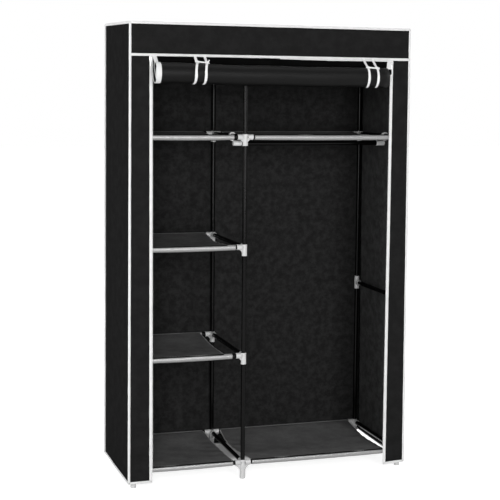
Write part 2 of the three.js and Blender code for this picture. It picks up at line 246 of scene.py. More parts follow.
def noise(tree, place, vector, **settings):
    # Cloudy noise, read at a vector
    made = newNode(tree, "ShaderNodeTexNoise", place, **settings)
    tree.links.new(vector, made.inputs["Vector"])
    return made


def ramp(tree, place, value, start, end, low=0.0, high=1.0, kind="SMOOTHSTEP"):
    # Carries a value from one range over to another, by default with a soft start and end
    made = newNode(tree, "ShaderNodeMapRange", place, interpolation_type=kind)
    for socket, number in (("From Min", start), ("From Max", end), ("To Min", low), ("To Max", high)):
        made.inputs[socket].default_value = number
    tree.links.new(value, made.inputs["Value"])
    return made.outputs[0]


def mixColour(tree, place, factor, first, second):
    # Two colours mixed by a factor; each of the three is a value or another node's output
    made = newNode(tree, "ShaderNodeMix", place, data_type="RGBA")
    for socket, value in ((made.inputs["Factor"], factor), (made.inputs[6], first), (made.inputs[7], second)):
        if isinstance(value, (int, float, tuple)):
            socket.default_value = value
        else:
            tree.links.new(value, socket)
    return made.outputs[2]


def spunbondGroup():
    # Non-woven cloth: a lattice of small bonded dots, felt-like fibres, cloudy patches of thicker fibre, and a
    # near-black strip of painted shade before an edge
    tree, given, out = newGroup("spunbondCloth", ("Colour", "Cloud Colour", "Thread Colour"), (
        "Dot Pitch", "Cloud Scale", "Seam One", "Seam Two", "Dullness", "Painted Shade Edge"))
    link = tree.links.new
    parts = splitVector(tree, (-5, 2), given["Vector"])
    turn = calculate(tree, (-5, 3), "DIVIDE", math.pi, given["Dot Pitch"])
    waves = []
    for k, (first, second) in enumerate((("X", "Y"), ("Y", "Z"), ("X", "Z"))):
        total = calculate(tree, (-4, 2 + k), "ADD", parts[first], parts[second])
        waves.append(calculate(tree, (-3, 2 + k), "COSINE", calculate(tree, (-3.5, 2 + k), "MULTIPLY", total, turn)))
    lattice = calculate(tree, (-2, 3), "MAXIMUM", calculate(tree, (-2, 2), "MULTIPLY", waves[0], waves[1]), waves[2])
    dots = ramp(tree, (-1, 3), lattice, 0.45, 0.95)
    fibres = noise(tree, (-3, -1), given["Vector"], noise_dimensions="3D", Scale=420.0, Detail=4.0, Distortion=1.2)
    clouds = noise(tree, (-3, -3), given["Vector"], noise_dimensions="3D", Detail=8.0, Roughness=0.74)
    link(given["Cloud Scale"], clouds.inputs["Scale"])
    patches = ramp(tree, (-1, -3), clouds.outputs[0], 0.36, 0.66)
    cloudy = mixColour(tree, (1, -2), patches, given["Colour"], given["Cloud Colour"])
    pressed = calculate(tree, (0, 1), "MULTIPLY", dots, 0.22)
    dotted = mixColour(tree, (3, -1), pressed, cloudy, (0, 0, 0, 1))
    # two seams at set distances across the cloth, each a row of stitches 3.2 mm long
    dash = calculate(tree, (-2, 6), "SINE", calculate(tree, (-3, 6), "MULTIPLY", parts["X"], 2 * math.pi / 0.0032))
    seamRows = []
    for k, seam in enumerate(("Seam One", "Seam Two")):
        away = calculate(tree, (-3, 7 + k), "SUBTRACT", parts["Y"], given[seam])
        away = calculate(tree, (-2.5, 7 + k), "ABSOLUTE", away)
        seamRows.append(calculate(tree, (-2, 7 + k), "LESS_THAN", away, 0.0004))
    stitches = calculate(tree, (0, 6), "MULTIPLY", calculate(tree, (-1, 7), "MAXIMUM", *seamRows),
                         calculate(tree, (-1, 6), "GREATER_THAN", dash, -0.5))
    # the strip before the edge is painted shade, near black, where the cloth turns over the top of a hem
    past = calculate(tree, (1, 5), "SUBTRACT", parts["Y"], given["Painted Shade Edge"])
    paintedShadeFade = ramp(tree, (2, 5), past, 0.0, 0.0015, kind="LINEAR")
    withPaintedShade = mixColour(tree, (4, 5), paintedShadeFade, (0.014, 0.014, 0.014, 1), dotted)
    link(mixColour(tree, (5, -1), stitches, withPaintedShade, given["Thread Colour"]), out["Colour"])
    link(calculate(tree, (2, 1), "MULTIPLY_ADD", dots, -0.12, given["Dullness"]), out["Roughness"])
    soft = calculate(tree, (2, 3), "MULTIPLY_ADD", fibres.outputs[0], 0.5, patches)
    raised = calculate(tree, (3, 3), "MULTIPLY_ADD", stitches, 1.5, soft)
    link(calculate(tree, (4, 3), "SUBTRACT", raised, dots), out["Height"])
    return tree


def tapeGroup():
    # Narrow woven tape: ribs along it, cross threads, and a row of stitches near its edge, with painted shade in the
    # weave's valleys and the stitch holes. The vector's x runs along the tape and its y across, in metres.
    tree, given, out = newGroup("wovenTape", ("Colour",), ("Rib Pitch", "Stitch Row", "Stitch Pitch", "Dullness"))
    link = tree.links.new
    parts = splitVector(tree, (-5, 2), given["Vector"])
    along, across = parts["X"], parts["Y"]
    turn = calculate(tree, (-5, 4), "DIVIDE", 2 * math.pi, given["Rib Pitch"])
    ribs = calculate(tree, (-3, 1), "COSINE", calculate(tree, (-4, 1), "MULTIPLY", along, turn))
    warp = calculate(tree, (-3, 2), "COSINE", calculate(tree, (-4, 2), "MULTIPLY", across, turn))
    weave = calculate(tree, (-2, 1), "MULTIPLY", ribs, warp)
    stitchTurn = calculate(tree, (-4, 4), "DIVIDE", 2 * math.pi, given["Stitch Pitch"])
    dash = calculate(tree, (-2, 4), "SINE", calculate(tree, (-3, 4), "MULTIPLY", along, stitchTurn))
    away = calculate(tree, (-3, 5), "ABSOLUTE", calculate(tree, (-4, 5), "SUBTRACT", across, given["Stitch Row"]))
    stitches = calculate(tree, (0, 4), "MULTIPLY", calculate(tree, (-1, 5), "LESS_THAN", away, 0.00035),
                         calculate(tree, (-1, 4), "GREATER_THAN", dash, -0.55))
    grime = noise(tree, (-3, -2), given["Vector"], Scale=30.0, Detail=5.0)
    shade = ramp(tree, (-1, -2), grime.outputs[0], 0.3, 0.75, high=0.14, kind="LINEAR")
    # the weave's valleys and the stitch holes are darkened as painted shade, added to the grime's patches
    grimeAndWeaveShade = calculate(tree, (0, -1), "MULTIPLY_ADD", weave, -0.04, shade)
    grimeAndPaintedShade = calculate(tree, (1, 0), "MULTIPLY_ADD", stitches, 0.18, grimeAndWeaveShade)
    link(mixColour(tree, (3, -1), grimeAndPaintedShade, given["Colour"], (0.22, 0.22, 0.21, 1)), out["Colour"])
    link(calculate(tree, (3, 1), "MULTIPLY_ADD", weave, 0.05, given["Dullness"]), out["Roughness"])
    link(calculate(tree, (3, 3), "MULTIPLY_ADD", stitches, -1.5, weave), out["Height"])
    return tree


def wearGroup():
    # Light use on plastic and paint: faint grey rubs in patches, and fine scratches in the gloss
    tree, given, out = newGroup("lightWear", ("Colour", "Rub Colour"), ("Rub Amount", "Gloss Roughness"))
    link = tree.links.new
    patches = noise(tree, (-4, -2), given["Vector"], Scale=55.0, Detail=6.0, Roughness=0.7)
    grain = noise(tree, (-4, 1), given["Vector"], Scale=900.0, Detail=2.0)
    stretched = newNode(tree, "ShaderNodeMapping", (-5, 3), Scale=(1.0, 1.0, 0.12))
    link(given["Vector"], stretched.inputs["Vector"])
    scratches = noise(tree, (-4, 3), stretched.outputs[0], Scale=700.0, Detail=3.0, Distortion=0.6)
    rubs = ramp(tree, (-2, -2), patches.outputs[0], 0.5, 0.78)
    amount = calculate(tree, (0, -2), "MULTIPLY", rubs, given["Rub Amount"])
    link(mixColour(tree, (3, -1), amount, given["Colour"], given["Rub Colour"]), out["Colour"])
    fine = calculate(tree, (0, 2), "MULTIPLY_ADD", scratches.outputs[0], 0.07, given["Gloss Roughness"])
    link(calculate(tree, (2, 2), "MULTIPLY_ADD", amount, 0.25, fine), out["Roughness"])
    link(grain.outputs[0], out["Height"])
    return tree


effects = {"spunbond": spunbondGroup(), "tape": tapeGroup(), "wear": wearGroup()}


def finish(name, effect, vector, bumpDepth, values, shader):
    # A material: one effect group feeds the Principled shader's colour, roughness and bump.
    material = bpy.data.materials.new(name)
    material.use_nodes = True
    tree = material.node_tree
    tree.nodes.clear()
    link = tree.links.new
    out = newNode(tree, "ShaderNodeOutputMaterial", (4, 0))
    surface = newNode(tree, "ShaderNodeBsdfPrincipled", (2, 0), **shader)
    place = newNode(tree, "ShaderNodeTexCoord", (-2, 0))
    look = newNode(tree, "ShaderNodeGroup", (0, 0))
    look.node_tree = effects[effect]
    for socket, value in values.items():
        look.inputs[socket].default_value = value
    bump = newNode(tree, "ShaderNodeBump", (1, 1))
    bump.inputs["Distance"].default_value = bumpDepth
    link(place.outputs[vector], look.inputs["Vector"])
    link(look.outputs["Colour"], surface.inputs["Base Color"])
    link(look.outputs["Roughness"], surface.inputs["Roughness"])
    link(look.outputs["Height"], bump.inputs["Height"])
    link(bump.outputs[0], surface.inputs["Normal"])
    link(surface.outputs[0], out.inputs["Surface"])
    return material


def grey(value, warm=0.0):
    # A grey as red, green, blue and alpha; warm raises the red and lowers the blue by that share
    return (value * (1 + warm), value, value * (1 - warm), 1)


clothShader = {"Specular IOR Level": 0.0}
tapeShader = {"Specular IOR Level": 0.2, "Sheen Weight": 0.05, "Sheen Roughness": 0.5}


def cloth(name, vector, depth, colour, cloudColour, cloudScale, seams=(-1.0, -1.0), dullness=0.8,
          shader=clothShader, paintedShadeEdge=-9.0):
    # Non-woven cloth; seams and the painted shade edge lie at set distances across it, and are off it by default
    return finish(name, "spunbond", vector, depth, {
        "Colour": grey(colour), "Cloud Colour": grey(cloudColour), "Thread Colour": grey(0.16), "Dot Pitch": 0.0019,
        "Cloud Scale": cloudScale, "Seam One": seams[0], "Seam Two": seams[1], "Dullness": dullness,
        "Painted Shade Edge": paintedShadeEdge}, shader)


coverCloth = cloth("blackSpunbond", "UV", 0.0002, 0.0140, 0.0190, 22.0)
# the back's cloth is a paler copy of the black cloth: painted light for the light the wardrobe's inside lacks
backClothPaintedLight = cloth("blackSpunbondBackPaintedLight", "UV", 0.0002, 0.0146, 0.0285, 36.0)
# the side cloth's inside face is a paler copy of the black cloth: painted light for the shaded inside
sideLiningPaintedLight = cloth("blackSpunbondInsidePaintedLight", "UV", 0.0002, 0.0460, 0.0780, 24.0)
doorCloth = cloth("blackSpunbondDoor", "Object", 0.0001, 0.0026, 0.0036, 20.0, dullness=0.44,
                  shader={"Specular IOR Level": 0.10})
# a darker copy of the black cloth for the door's stretch under the fascia: painted shade
shadedCloth = cloth("blackSpunbondPaintedShade", "Object", 0.00018, 0.0032, 0.0045, 12.0)
shelfCloth = cloth("greySpunbond", "UV", 0.0002, 0.152, 0.206, 14.0, seams=(0.0125, 0.4075), paintedShadeEdge=-0.0012)


def tape(name, colour, pitch, row, stitch, dullness, depth, shader):
    # Woven tape. The row is how far its stitches lie from the edge, and below zero it has none.
    return finish(name, "tape", "UV", depth, {"Colour": grey(colour), "Rib Pitch": pitch, "Stitch Row": row,
                                              "Stitch Pitch": stitch, "Dullness": dullness}, shader)


hemCloth = tape("silverGreyHem", 0.19, 0.0008, 0.0435, 0.0035, 0.28, 0.00004, {"IOR": 1.65, "Specular IOR Level": 1.0})
trimCloth = tape("greyShelfTrim", 0.48, 0.0008, 0.0026, 0.0032, 0.66, 0.00008, tapeShader)
bindingCloth = tape("whiteBinding", 0.84, 0.0009, 0.0016, 0.0032, 0.68, 0.00012, tapeShader)
zipTape = tape("whiteZipTape", 0.86, 0.0007, 0.0022, 0.0030, 0.66, 0.00012, tapeShader)
ribbonSatin = tape("whiteRibbon", 0.88, 0.0006, -1.0, 0.0030, 0.50, 0.00008, {**tapeShader, "Specular IOR Level": 0.4})
whitePlastic = finish("whiteMouldedPlastic", "wear", "Object", 0.00003, {
    "Colour": grey(0.58), "Rub Colour": grey(0.36, 0.02), "Rub Amount": 0.25, "Gloss Roughness": 0.36},
    {"Specular IOR Level": 0.45})
# a paler copy of the white plastic for the rail's holders: painted light standing in for the light that catches them
holderPlasticPaintedLight = finish("whiteHolderPlasticPaintedLight", "wear", "Object", 0.00003, {
    "Colour": grey(0.86), "Rub Colour": grey(0.6, 0.02), "Rub Amount": 0.25, "Gloss Roughness": 0.34}, {})
zipPlastic = finish("whiteZipCoil", "wear", "Object", 0.00002, {
    "Colour": grey(0.8), "Rub Colour": grey(0.5), "Rub Amount": 0.2, "Gloss Roughness": 0.3}, {})
zipPaint = finish("whiteZipSlider", "wear", "Object", 0.00003, {
    "Colour": grey(0.7), "Rub Colour": grey(0.35), "Rub Amount": 0.5, "Gloss Roughness": 0.24},
    {"Metallic": 0.35, "Coat Weight": 0.3, "Coat Roughness": 0.15})
blackPaint = finish("blackTubePaint", "wear", "Object", 0.000008, {
    "Colour": grey(0.002), "Rub Colour": grey(0.006), "Rub Amount": 0.4, "Gloss Roughness": 0.13},
    {"Specular IOR Level": 0.09})
blackPlastic = finish("blackRoofPlastic", "wear", "Object", 0.00004, {
    "Colour": grey(0.012), "Rub Colour": grey(0.03), "Rub Amount": 0.5, "Gloss Roughness": 0.42}, {})
print("materials made")


def boxOf(node):
    # A CAD node's lowest and highest corner
    low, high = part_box(node)
    return np.array(low), np.array(high)


def centreOf(node):
    # The middle of a CAD node's box, half the sum of its two corners
    low, high = boxOf(node)
    return (low + high) / 2


columns = {c: centreOf(f"post_front_{c}")[0] for c in ("left", "middle", "right")}
rows = {r: centreOf(f"post_{r}_left")[1] for r in ("front", "rear")}
levels = {k: centreOf(f"depth_tube_{k}_left")[2] for k in ("base", "lower", "upper", "top")}
roofZ = boxOf("post_front_left")[1][2]
sideZ = centreOf("depth_tube_side")[2]
leftBayOnly = ("lower", "upper")
coverLow, coverHigh = boxOf("cover_roof")
frontFace, backFace = coverLow[1], coverHigh[1]
fasciaZ = coverLow[2]
hemZ = boxOf("cover_back")[0][2]


def tubePiece(name, ends, **options):
    # One or more tube sections, each between two points, as one piece
    makePiece(name, [tubeShell(a, b) for a, b in ends], blackPaint, "tube", crease=tubes["crease"], **options)


# a post is a column of tube sections that meet inside the connectors, with a hair's gap between two sections
for row, y in rows.items():
    for column, x in columns.items():
        node = f"post_{row}_{column}"
        low, high = boxOf(node)
        meets = [sideZ] if column == "right" else [levels["lower"] - 0.004, levels["upper"] - 0.004]
        ends = [low[2], *meets, levels["top"] - 0.004, high[2]]
        half = tubes["sectionGap"] / 2
        tubePiece(f"postTube_{row}_{column}",
                  [((x, y, a + half), (x, y, b - half)) for a, b in zip(ends, ends[1:])], replaces=[node])

for node in [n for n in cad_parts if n.startswith("depth_tube")]:
    low, high = boxOf(node)
    x, _, z = centreOf(node)
    tubePiece("crossTube" + node[len("depth_tube"):], [((x, low[1], z), (x, high[1], z))], replaces=[node])

low, high = boxOf("hanging_rail")
_, railY, railZ = centreOf("hanging_rail")
tubePiece("railTube", [((low[0], railY, railZ), (high[0], railY, railZ))], body="rail", replaces=["hanging_rail"])
print("tubes made")


# Moulded connectors: their sockets' bore, wall and lip, how far the arms and the sleeve reach, the corner webs
# and the foot; then the voxels and smoothing that melt these bodies into one
connector = {
    "bore": 0.0082, "radius": 0.0096, "lip": 0.0101, "lipLength": 0.0035,
    "armReach": 0.029, "armFlare": 0.0005, "dropReach": 0.032, "top": 0.0102,
    "web": 0.0036, "webLeg": 0.011, "footWebLeg": 0.023, "webHollow": 0.10,
    "footTop": 0.0104, "footBottom": 0.0103, "footSeat": 0.009, "sideSleeve": 0.026,
    "voxel": 0.00085, "rounding": 5, "keepShare": 0.34,
}


def socketShell(way, start, end, flare=0.0):
    # A socket's wall: out along its outside, which widens to a lip, over the mouth and back along the bore.
    c = connector
    outward = [start, start + 0.001, end - c["lipLength"], end - c["lipLength"] * 0.7, end - 0.0008, end]
    outside = [c["radius"] - 0.0004, c["radius"], c["radius"] + flare * 0.7, c["lip"], c["lip"], c["lip"] - 0.0006]
    homeward, inside = [end, end - 0.0008, start], [c["bore"] + 0.0004, c["bore"], c["bore"]]
    distances, radii = np.array(outward + homeward), np.array(outside + inside)
    return shell(ringAround((0, 0, 0), way, distances, radii, 48), True, True, turned=True)


def plugShell(way, start, end, radiusStart, radiusEnd):
    # A solid round body between two distances, closed at both ends.
    distances = np.array([start, start, start + 0.0006, end - 0.0006, end, end])
    radii = np.array([1e-6, radiusStart - 0.0005, radiusStart, radiusEnd, radiusEnd - 0.0005, 1e-6])
    return shell(ringAround((0, 0, 0), way, distances, radii, 48), False, True, turned=True)


def webShell(way, leg, upward=-1):
    # A corner web: a plate in the plane of an arm and the sleeve, whose free edge is drawn in as an arc.
    c = connector
    way = np.asarray(way, float)
    root, reach = c["radius"] * 0.9, c["radius"] + leg
    share = np.linspace(0, 1, 9)
    bow = c["webHollow"] * leg * np.sin(np.pi * share)
    outer = together(reach + (root - reach) * share - bow, root + (reach - root) * share - bow)
    plane = np.stack([np.full((9, 2), root * 0.75), outer], 0)
    flat = plane[..., :1] * way + plane[..., 1:] * np.array([0, 0, float(upward)])
    half = c["web"] / 2 * np.cross(way, [0, 0, 1.0])
    return shell(capped(np.stack([flat[0] - half, flat[1] - half, flat[1] + half, flat[0] + half], 1)), False, True)


def moulded(name, shells):
    # Melts overlapping bodies into one moulding: voxels join them, smoothing rounds the inner corners.
    body = makePiece(name, shells, whitePlastic, body=None, weld=1e-6)
    made = bmesh.new()
    made.from_mesh(body.data)
    bmesh.ops.recalc_face_normals(made, faces=made.faces)
    made.to_mesh(body.data)
    made.free()
    voxels = body.modifiers.new("voxels", "REMESH")
    voxels.mode = "VOXEL"
    voxels.voxel_size = connector["voxel"]
    rounding = body.modifiers.new("rounding", "SMOOTH")
    rounding.factor = 0.5
    rounding.iterations = connector["rounding"]
    fewer = body.modifiers.new("fewer", "DECIMATE")
    fewer.ratio = connector["keepShare"]
    evaluated = body.evaluated_get(bpy.context.evaluated_depsgraph_get())
    mesh = evaluated.to_mesh()
    points = np.zeros(len(mesh.vertices) * 3)
    mesh.vertices.foreach_get("co", points)
    mesh.calc_loop_triangles()
    faces = np.zeros(len(mesh.loop_triangles) * 3, int)
    mesh.loop_triangles.foreach_get("vertices", faces)
    evaluated.to_mesh_clear()
    bpy.data.objects.remove(body)
    return points.reshape(-1, 3), faces.reshape(-1, 3)


right, back, up = np.eye(3)
down = -up


def armShells(ways, webLeg):
    # For each way, a socket that starts at the sleeve's bore and the web in the corner under it
    c = connector
    parts = []
    for way in ways:
        parts += [socketShell(way, c["bore"] + 0.0004, c["armReach"], c["armFlare"]), webShell(way, webLeg)]
    return parts


def sleeveBody(arms):
    # A connector on a post: a sleeve round the post, and an arm with its web for each way
    c = connector
    return [socketShell(down, -c["top"], c["dropReach"]), *armShells(arms, c["webLeg"])]


def footBody(arms):
    # A connector at the base: a short sleeve, a solid foot under it down to the floor, and the arms
    c = connector
    foot = plugShell(down, c["footSeat"], levels["base"], c["footTop"], c["footBottom"])
    return [socketShell(down, -c["top"], c["footSeat"] + 0.001), foot, *armShells(arms, c["footWebLeg"])]


def sideBody():
    # The connector half-way up a right post: a sleeve and one arm, with a web under and over it
    c = connector
    sleeve = socketShell(down, -c["sideSleeve"], c["sideSleeve"])
    return [sleeve, *armShells([back], c["webLeg"]), webShell(back, c["webLeg"], upward=1)]


# The rail's holders: how far the socket hangs under the ring, the ring, the web between them and the socket
holder = {
    "drop": 0.028, "ringRadius": 0.0135, "ringWidth": 0.012, "rim": 0.0006, "web": 0.009, "plugStart": 0.003,
    "plugEnd": 0.0064, "socketStart": 0.006, "socketMouth": 0.036,
}


def holderBody():
    # A ring on the depth tube, a web under it, and the rail's socket, which opens towards +x.
    c, h = connector, holder
    half, rim, ringRadius = h["ringWidth"] / 2, h["rim"], h["ringRadius"]
    along = np.array([-half, rim - half, half - rim, half, half, half - rim, rim - half, -half])
    radii = np.array([ringRadius - rim, ringRadius, ringRadius, ringRadius - rim,
                      c["bore"] + 0.0004, c["bore"], c["bore"], c["bore"] + 0.0004])
    ring = shell(ringAround((0, 0, 0), back, along, radii, 48), True, True, turned=True)
    socket = socketShell(right, h["socketStart"], h["socketMouth"], c["armFlare"])
    plug = plugShell(right, h["plugStart"], h["plugEnd"], c["radius"], c["radius"])
    socket, plug = [(points - [0, 0, h["drop"]], faces, corners) for points, faces, corners in (socket, plug)]
    x, y = h["web"] / 2, half
    square = np.array([[-x, -y, 0], [x, -y, 0], [x, y, 0], [-x, y, 0]])
    bottom, top = 0.009 - h["drop"], -c["bore"] - 0.0012
    web = np.stack([square * spread + [0, 0, z] for spread, z in ((1e-4, bottom), (1, bottom), (1, top), (1e-4, top))])
    return [ring, socket, plug, shell(web, False, True)]


mouldings = {
    "sleeveCorner": moulded("draftSleeveCorner", sleeveBody([right, back])),
    "sleeveTee": moulded("draftSleeveTee", sleeveBody([right, -right, back])),
    "footCorner": moulded("draftFootCorner", footBody([right, back])),
    "footTee": moulded("draftFootTee", footBody([right, -right, back])),
    "side": moulded("draftSide", sideBody()),
    "holder": moulded("draftHolder", holderBody()),
}
print("connectors moulded,", {k: len(v[1]) for k, v in mouldings.items()})


def placeMoulding(name, kind, place, mirrored, body="root", replaces=(), material=whitePlastic, slot="connector"):
    # A copy of a moulding, mirrored left to right or front to back. A mirror turns the faces round.
    points, faces = mouldings[kind]
    points = points * mirrored + place
    if np.prod(mirrored) < 0:
        faces = faces[:, ::-1]
    corners = np.zeros((*faces.shape, 2))
    return makePiece(name, [(points, faces, corners)], material, slot, body, replaces)


inward = {"front": 1, "rear": -1}
for row, y in rows.items():
    for column, x in columns.items():
        for level, z in levels.items():
            if level in leftBayOnly and column == "right":
                continue
            corner = column != "middle" or level in leftBayOnly
            kind = ("foot" if level == "base" else "sleeve") + ("Corner" if corner else "Tee")
            handed = -1 if column == "right" or (column == "middle" and corner) else 1
            placeMoulding(f"joint_{level}_{row}_{column}", kind, (x, y, z), (handed, inward[row], 1),
                          replaces=[f"connector_{level}_{row}_{column}"])
    placeMoulding(f"joint_side_{row}", "side", (columns["right"], y, sideZ), (1, inward[row], 1),
                  replaces=[f"connector_side_{row}"])
# the rail's holders take the paler copy of the plastic, painted light
for name, x, handed in (("middle", columns["middle"], 1), ("right", columns["right"], -1)):
    placeMoulding(f"holder_{name}", "holder", (x, railY, levels["top"]), (handed, 1, 1), "rail",
                  [f"rail_holder_{name}"], holderPlasticPaintedLight)

# the roof frame keeps its connectors and tubes apart, as the real one does
for row, y in rows.items():
    for column, x in columns.items():
        kind = "sleeveTee" if column == "middle" else "sleeveCorner"
        stands = ["roof_frame"] if (row, column) == ("front", "left") else []
        handed = -1 if column == "right" else 1
        placeMoulding(f"roofJoint_{row}_{column}", kind, (x, y, roofZ), (handed, inward[row], 1), replaces=stands,
                      material=blackPlastic, slot="roof_frame")
stop = connector["bore"] + 0.002
for row, y in rows.items():
    for a, b in (("left", "middle"), ("middle", "right")):
        tubePiece(f"roofTube_{row}_{a}", [((columns[a] + stop, y, roofZ), (columns[b] - stop, y, roofZ))])
for column, x in columns.items():
    tubePiece(f"roofTube_depth_{column}", [((x, rows["front"] + stop, roofZ), (x, rows["rear"] - stop, roofZ))])
print("frame finished")


# Shelves: where the cloth ends, how long the tube shows bare beside it, how it turns over the hems and sags
shelf = {
    "hemInset": 0.034, "bareTube": {"top": 0.0085, "lower": 0.0095, "base": 0.0045}, "tubeStop": 0.0103,
    "cloth": 0.0009, "clothLift": 0.0005, "frontTurn": 0.9, "rearTurn": 0.75, "sag": 0.013, "edgeSagShare": 0.7,
    "waves": [(0.0012, 4), (0.0005, 11)], "acrossSteps": 72, "depthSteps": 44,
    "creaseHeight": 0.0010, "creaseReach": 0.06, "creaseTurns": 46, "creaseSlant": 0.35,
    "hemRadius": 0.0086, "hemLoose": 0.0006, "hemSag": 0.0008, "hemWaves": [(0.0003, 9)], "hemSteps": 120,
    "pucker": 0.00008, "puckerPitch": 0.0105, "binding": 0.0045, "bindingHalfDepth": 0.0011, "bindingShift": 0.0004,
    # how far the free edges are drawn in: at the left half way back, and at the right everywhere, in front
    # and half way back
    "leftPull": {"left": 0.014, "right": -0.017},
    "rightEdge": {"base": (0.0, 0.0, -0.001), "lower": (0.0095, 0.0225, 0.0), "upper": (0.0, 0.030, 0.006),
                  "top": (0.0, 0.021, 0.009), "rightBay": (0.0, 0.024, 0.007)},
}


def shelfPieces(level, side):
    # The cloth hangs between the two hems in a shallow bowl, the product of two half sine waves, and its free
    # edges are drawn in as half a sine wave. Creases run in from the corners, where it is pulled tightest.
    s = shelf
    a, b = ("left", "middle") if side == "left" else ("middle", "right")
    place = f"{level}_{side}"
    z, yFront, yRear = levels[level], rows["front"], rows["rear"]
    start, end = columns[a] + s["hemInset"], columns[b] - s["hemInset"]
    if side == "left":
        end -= s["bareTube"].get(level, 0.0)
    seed = sum(map(ord, f"shelf_{place}"))
    radius = s["hemRadius"] + s["clothLift"]
    reach = yRear - radius * math.sin(s["rearTurn"]) - yFront
    across = np.linspace(0, 1, s["acrossSteps"] + 1)[:, None]
    deep = np.linspace(0, 1, s["depthSteps"] + 1)[None]
    bow = np.sin(np.pi * deep)
    inset, slant, pull = s["rightEdge"][level if side == "left" else "rightBay"]
    leftPull = s["leftPull"][side]
    pullRight = pull * bow + slant * (1 - deep) + inset
    x = start + leftPull * bow + across * (end - start - leftPull * bow - pullRight)
    y = np.broadcast_to(yFront + deep * reach, x.shape)
    sagged = s["sag"] * bow * (s["edgeSagShare"] + (1 - s["edgeSagShare"]) * np.sin(np.pi * across))
    sagged = sagged + radius * (1 - math.cos(s["rearTurn"])) * deep**6
    nearEdge = sum(np.exp(-((share * (end - start)) / s["creaseReach"]) ** 2) for share in (across, 1 - across))
    folds = np.sin((deep - 0.5 + across * s["creaseSlant"]) * s["creaseTurns"])
    creases = ripple(x, y, s["waves"], seed) * bow + s["creaseHeight"] * nearEdge * bow * folds
    flat = np.stack([x, y, z + radius - sagged + creases], -1)
    # in front the cloth runs over the hem's top and a little down its face; this turned part is painted near black as
    # shade
    turn = np.linspace(s["frontTurn"], 0, 9)[None, :-1]
    wrapped = together(x[:, :1], yFront - radius * np.sin(turn), z + radius * np.cos(turn))
    uv = together(across * (end - start), np.concatenate([-radius * turn, deep * reach], 1))
    sheet = makePiece(f"shelfCloth_{place}", [shell(np.concatenate([wrapped, flat], 1), uv=uv)], shelfCloth,
                      "shelf_cloth", replaces=[f"shelf_{place}"])
    thicken(sheet, s["cloth"], 0)

    # each hem is a sleeve that hangs a little loose round its cross tube, slightly puckered
    hems, trims = [], []
    along, turn = np.linspace(start, end, s["hemSteps"])[:, None], fullTurn(36)
    loose = s["hemLoose"] + s["hemSag"] * np.sin(np.pi * np.linspace(0, 1, s["hemSteps"]))[:, None]
    pucker = s["pucker"] * np.sin(2 * np.pi * along / s["puckerPitch"])
    girth = s["hemRadius"] + pucker + ripple(along, turn[None] * 0.01, s["hemWaves"], seed + 1)
    hemUv = together(along, np.linspace(0, 2 * np.pi * s["hemRadius"], 37)[None])
    for row, rowY in rows.items():
        sleeve = together(along, rowY + girth * np.cos(turn), z - loose + (girth + loose) * np.sin(turn))
        hem = makePiece(f"shelfHem_{place}_{row}", [shell(sleeve, False, True, uv=hemUv)], hemCloth, "shelf_cloth")
        hems.append(thicken(hem, s["cloth"], -1))
        tubePiece(f"shelfTube_{place}_{row}",
                  [((columns[a] + s["tubeStop"], rowY, z), (columns[b] - s["tubeStop"], rowY, z))])
    for letter, edge, outward in (("a", 0, -1), ("b", -1, 1)):
        turn = fullTurn(12)
        section = together(outward * s["bindingShift"] + s["binding"] / 2 * np.cos(turn), 0,
                           s["bindingHalfDepth"] * np.sin(turn) - s["bindingShift"])
        trim = sweep(flat[edge], section, 2 * s["binding"], turned=outward > 0)
        trims.append(makePiece(f"shelfBinding_{place}_{letter}", [trim], trimCloth, "shelf_cloth"))


for level in levels:
    for side in ("left", "right"):
        if side == "left" or level not in leftBayOnly:
            shelfPieces(level, side)
print("shelves made")


# The sewn cover: its cloth, how deep each panel's hollow is, and how it hangs away from the frame
cover = {
    "cloth": 0.0008, "inset": 0.0002, "step": 0.014, "seamFade": 0.04, "waves": [(0.0005, 3.1), (0.0003, 8.3)],
    "backHollow": -0.0012, "sideHollow": 0.0005, "fasciaHollow": 0.0006, "fasciaOut": 0.0008, "bandTuck": 0.014,
    "roofSag": 0.007,
    # the sideways shift of the four upright edges at the roof and at the hem
    "shiftTop": (0.003, 0.002, 0.0, -0.002), "shiftHem": (-0.0015, 0.0045, -0.002, 0.005), "height": 1.62,
    # how far the hem hangs down in front and at the back, and up to what height this is felt
    "hemDropFront": (0.0, 0.0, 0.006, 0.0015), "hemDropRear": (0.0152, 0.0152, -0.006, -0.006), "dropBelow": 0.8,
    # the roof's rise at its two back corners, and the heights between which it grows
    "rearRise": (0.016, 0.004), "riseFrom": 1.2, "riseOver": 0.44,
}
coverLeft, coverRight, coverTop = coverLow[0], coverHigh[0], coverHigh[2]
openingLeft, openingRight = boxOf("cover_side_left")[1][0], boxOf("cover_side_right")[0][0]


def hang(points):
    # Moves the cover's points sideways by amounts read between its roof and its hem at its four upright
    # edges, and lets the hem drop and the roof rise a little towards the back
    x, y, z = points[..., 0], points[..., 1], points[..., 2]
    edges, rearEdges = [coverLeft, openingLeft, openingRight, coverRight], [coverLeft, 0.25, openingRight, coverRight]
    low = np.clip(1 - z / cover["height"], 0, 1)
    shift = (1 - low) * np.interp(x, edges, cover["shiftTop"]) + low * np.interp(x, edges, cover["shiftHem"])
    away = np.clip((y - frontFace) / (backFace - frontFace), 0, 1)
    drop = (1 - away) * np.interp(x, edges, cover["hemDropFront"])
    drop = drop + away**0.6 * np.interp(x, rearEdges, cover["hemDropRear"])
    rise = away * np.interp(x, [coverLeft, coverRight], cover["rearRise"])
    nearHem = np.clip(1 - z / cover["dropBelow"], 0, 1)
    nearRoof = np.clip((z - cover["riseFrom"]) / cover["riseOver"], 0, 1)
    return np.stack([x + shift, y, z - drop * nearHem + rise * nearRoof], -1)


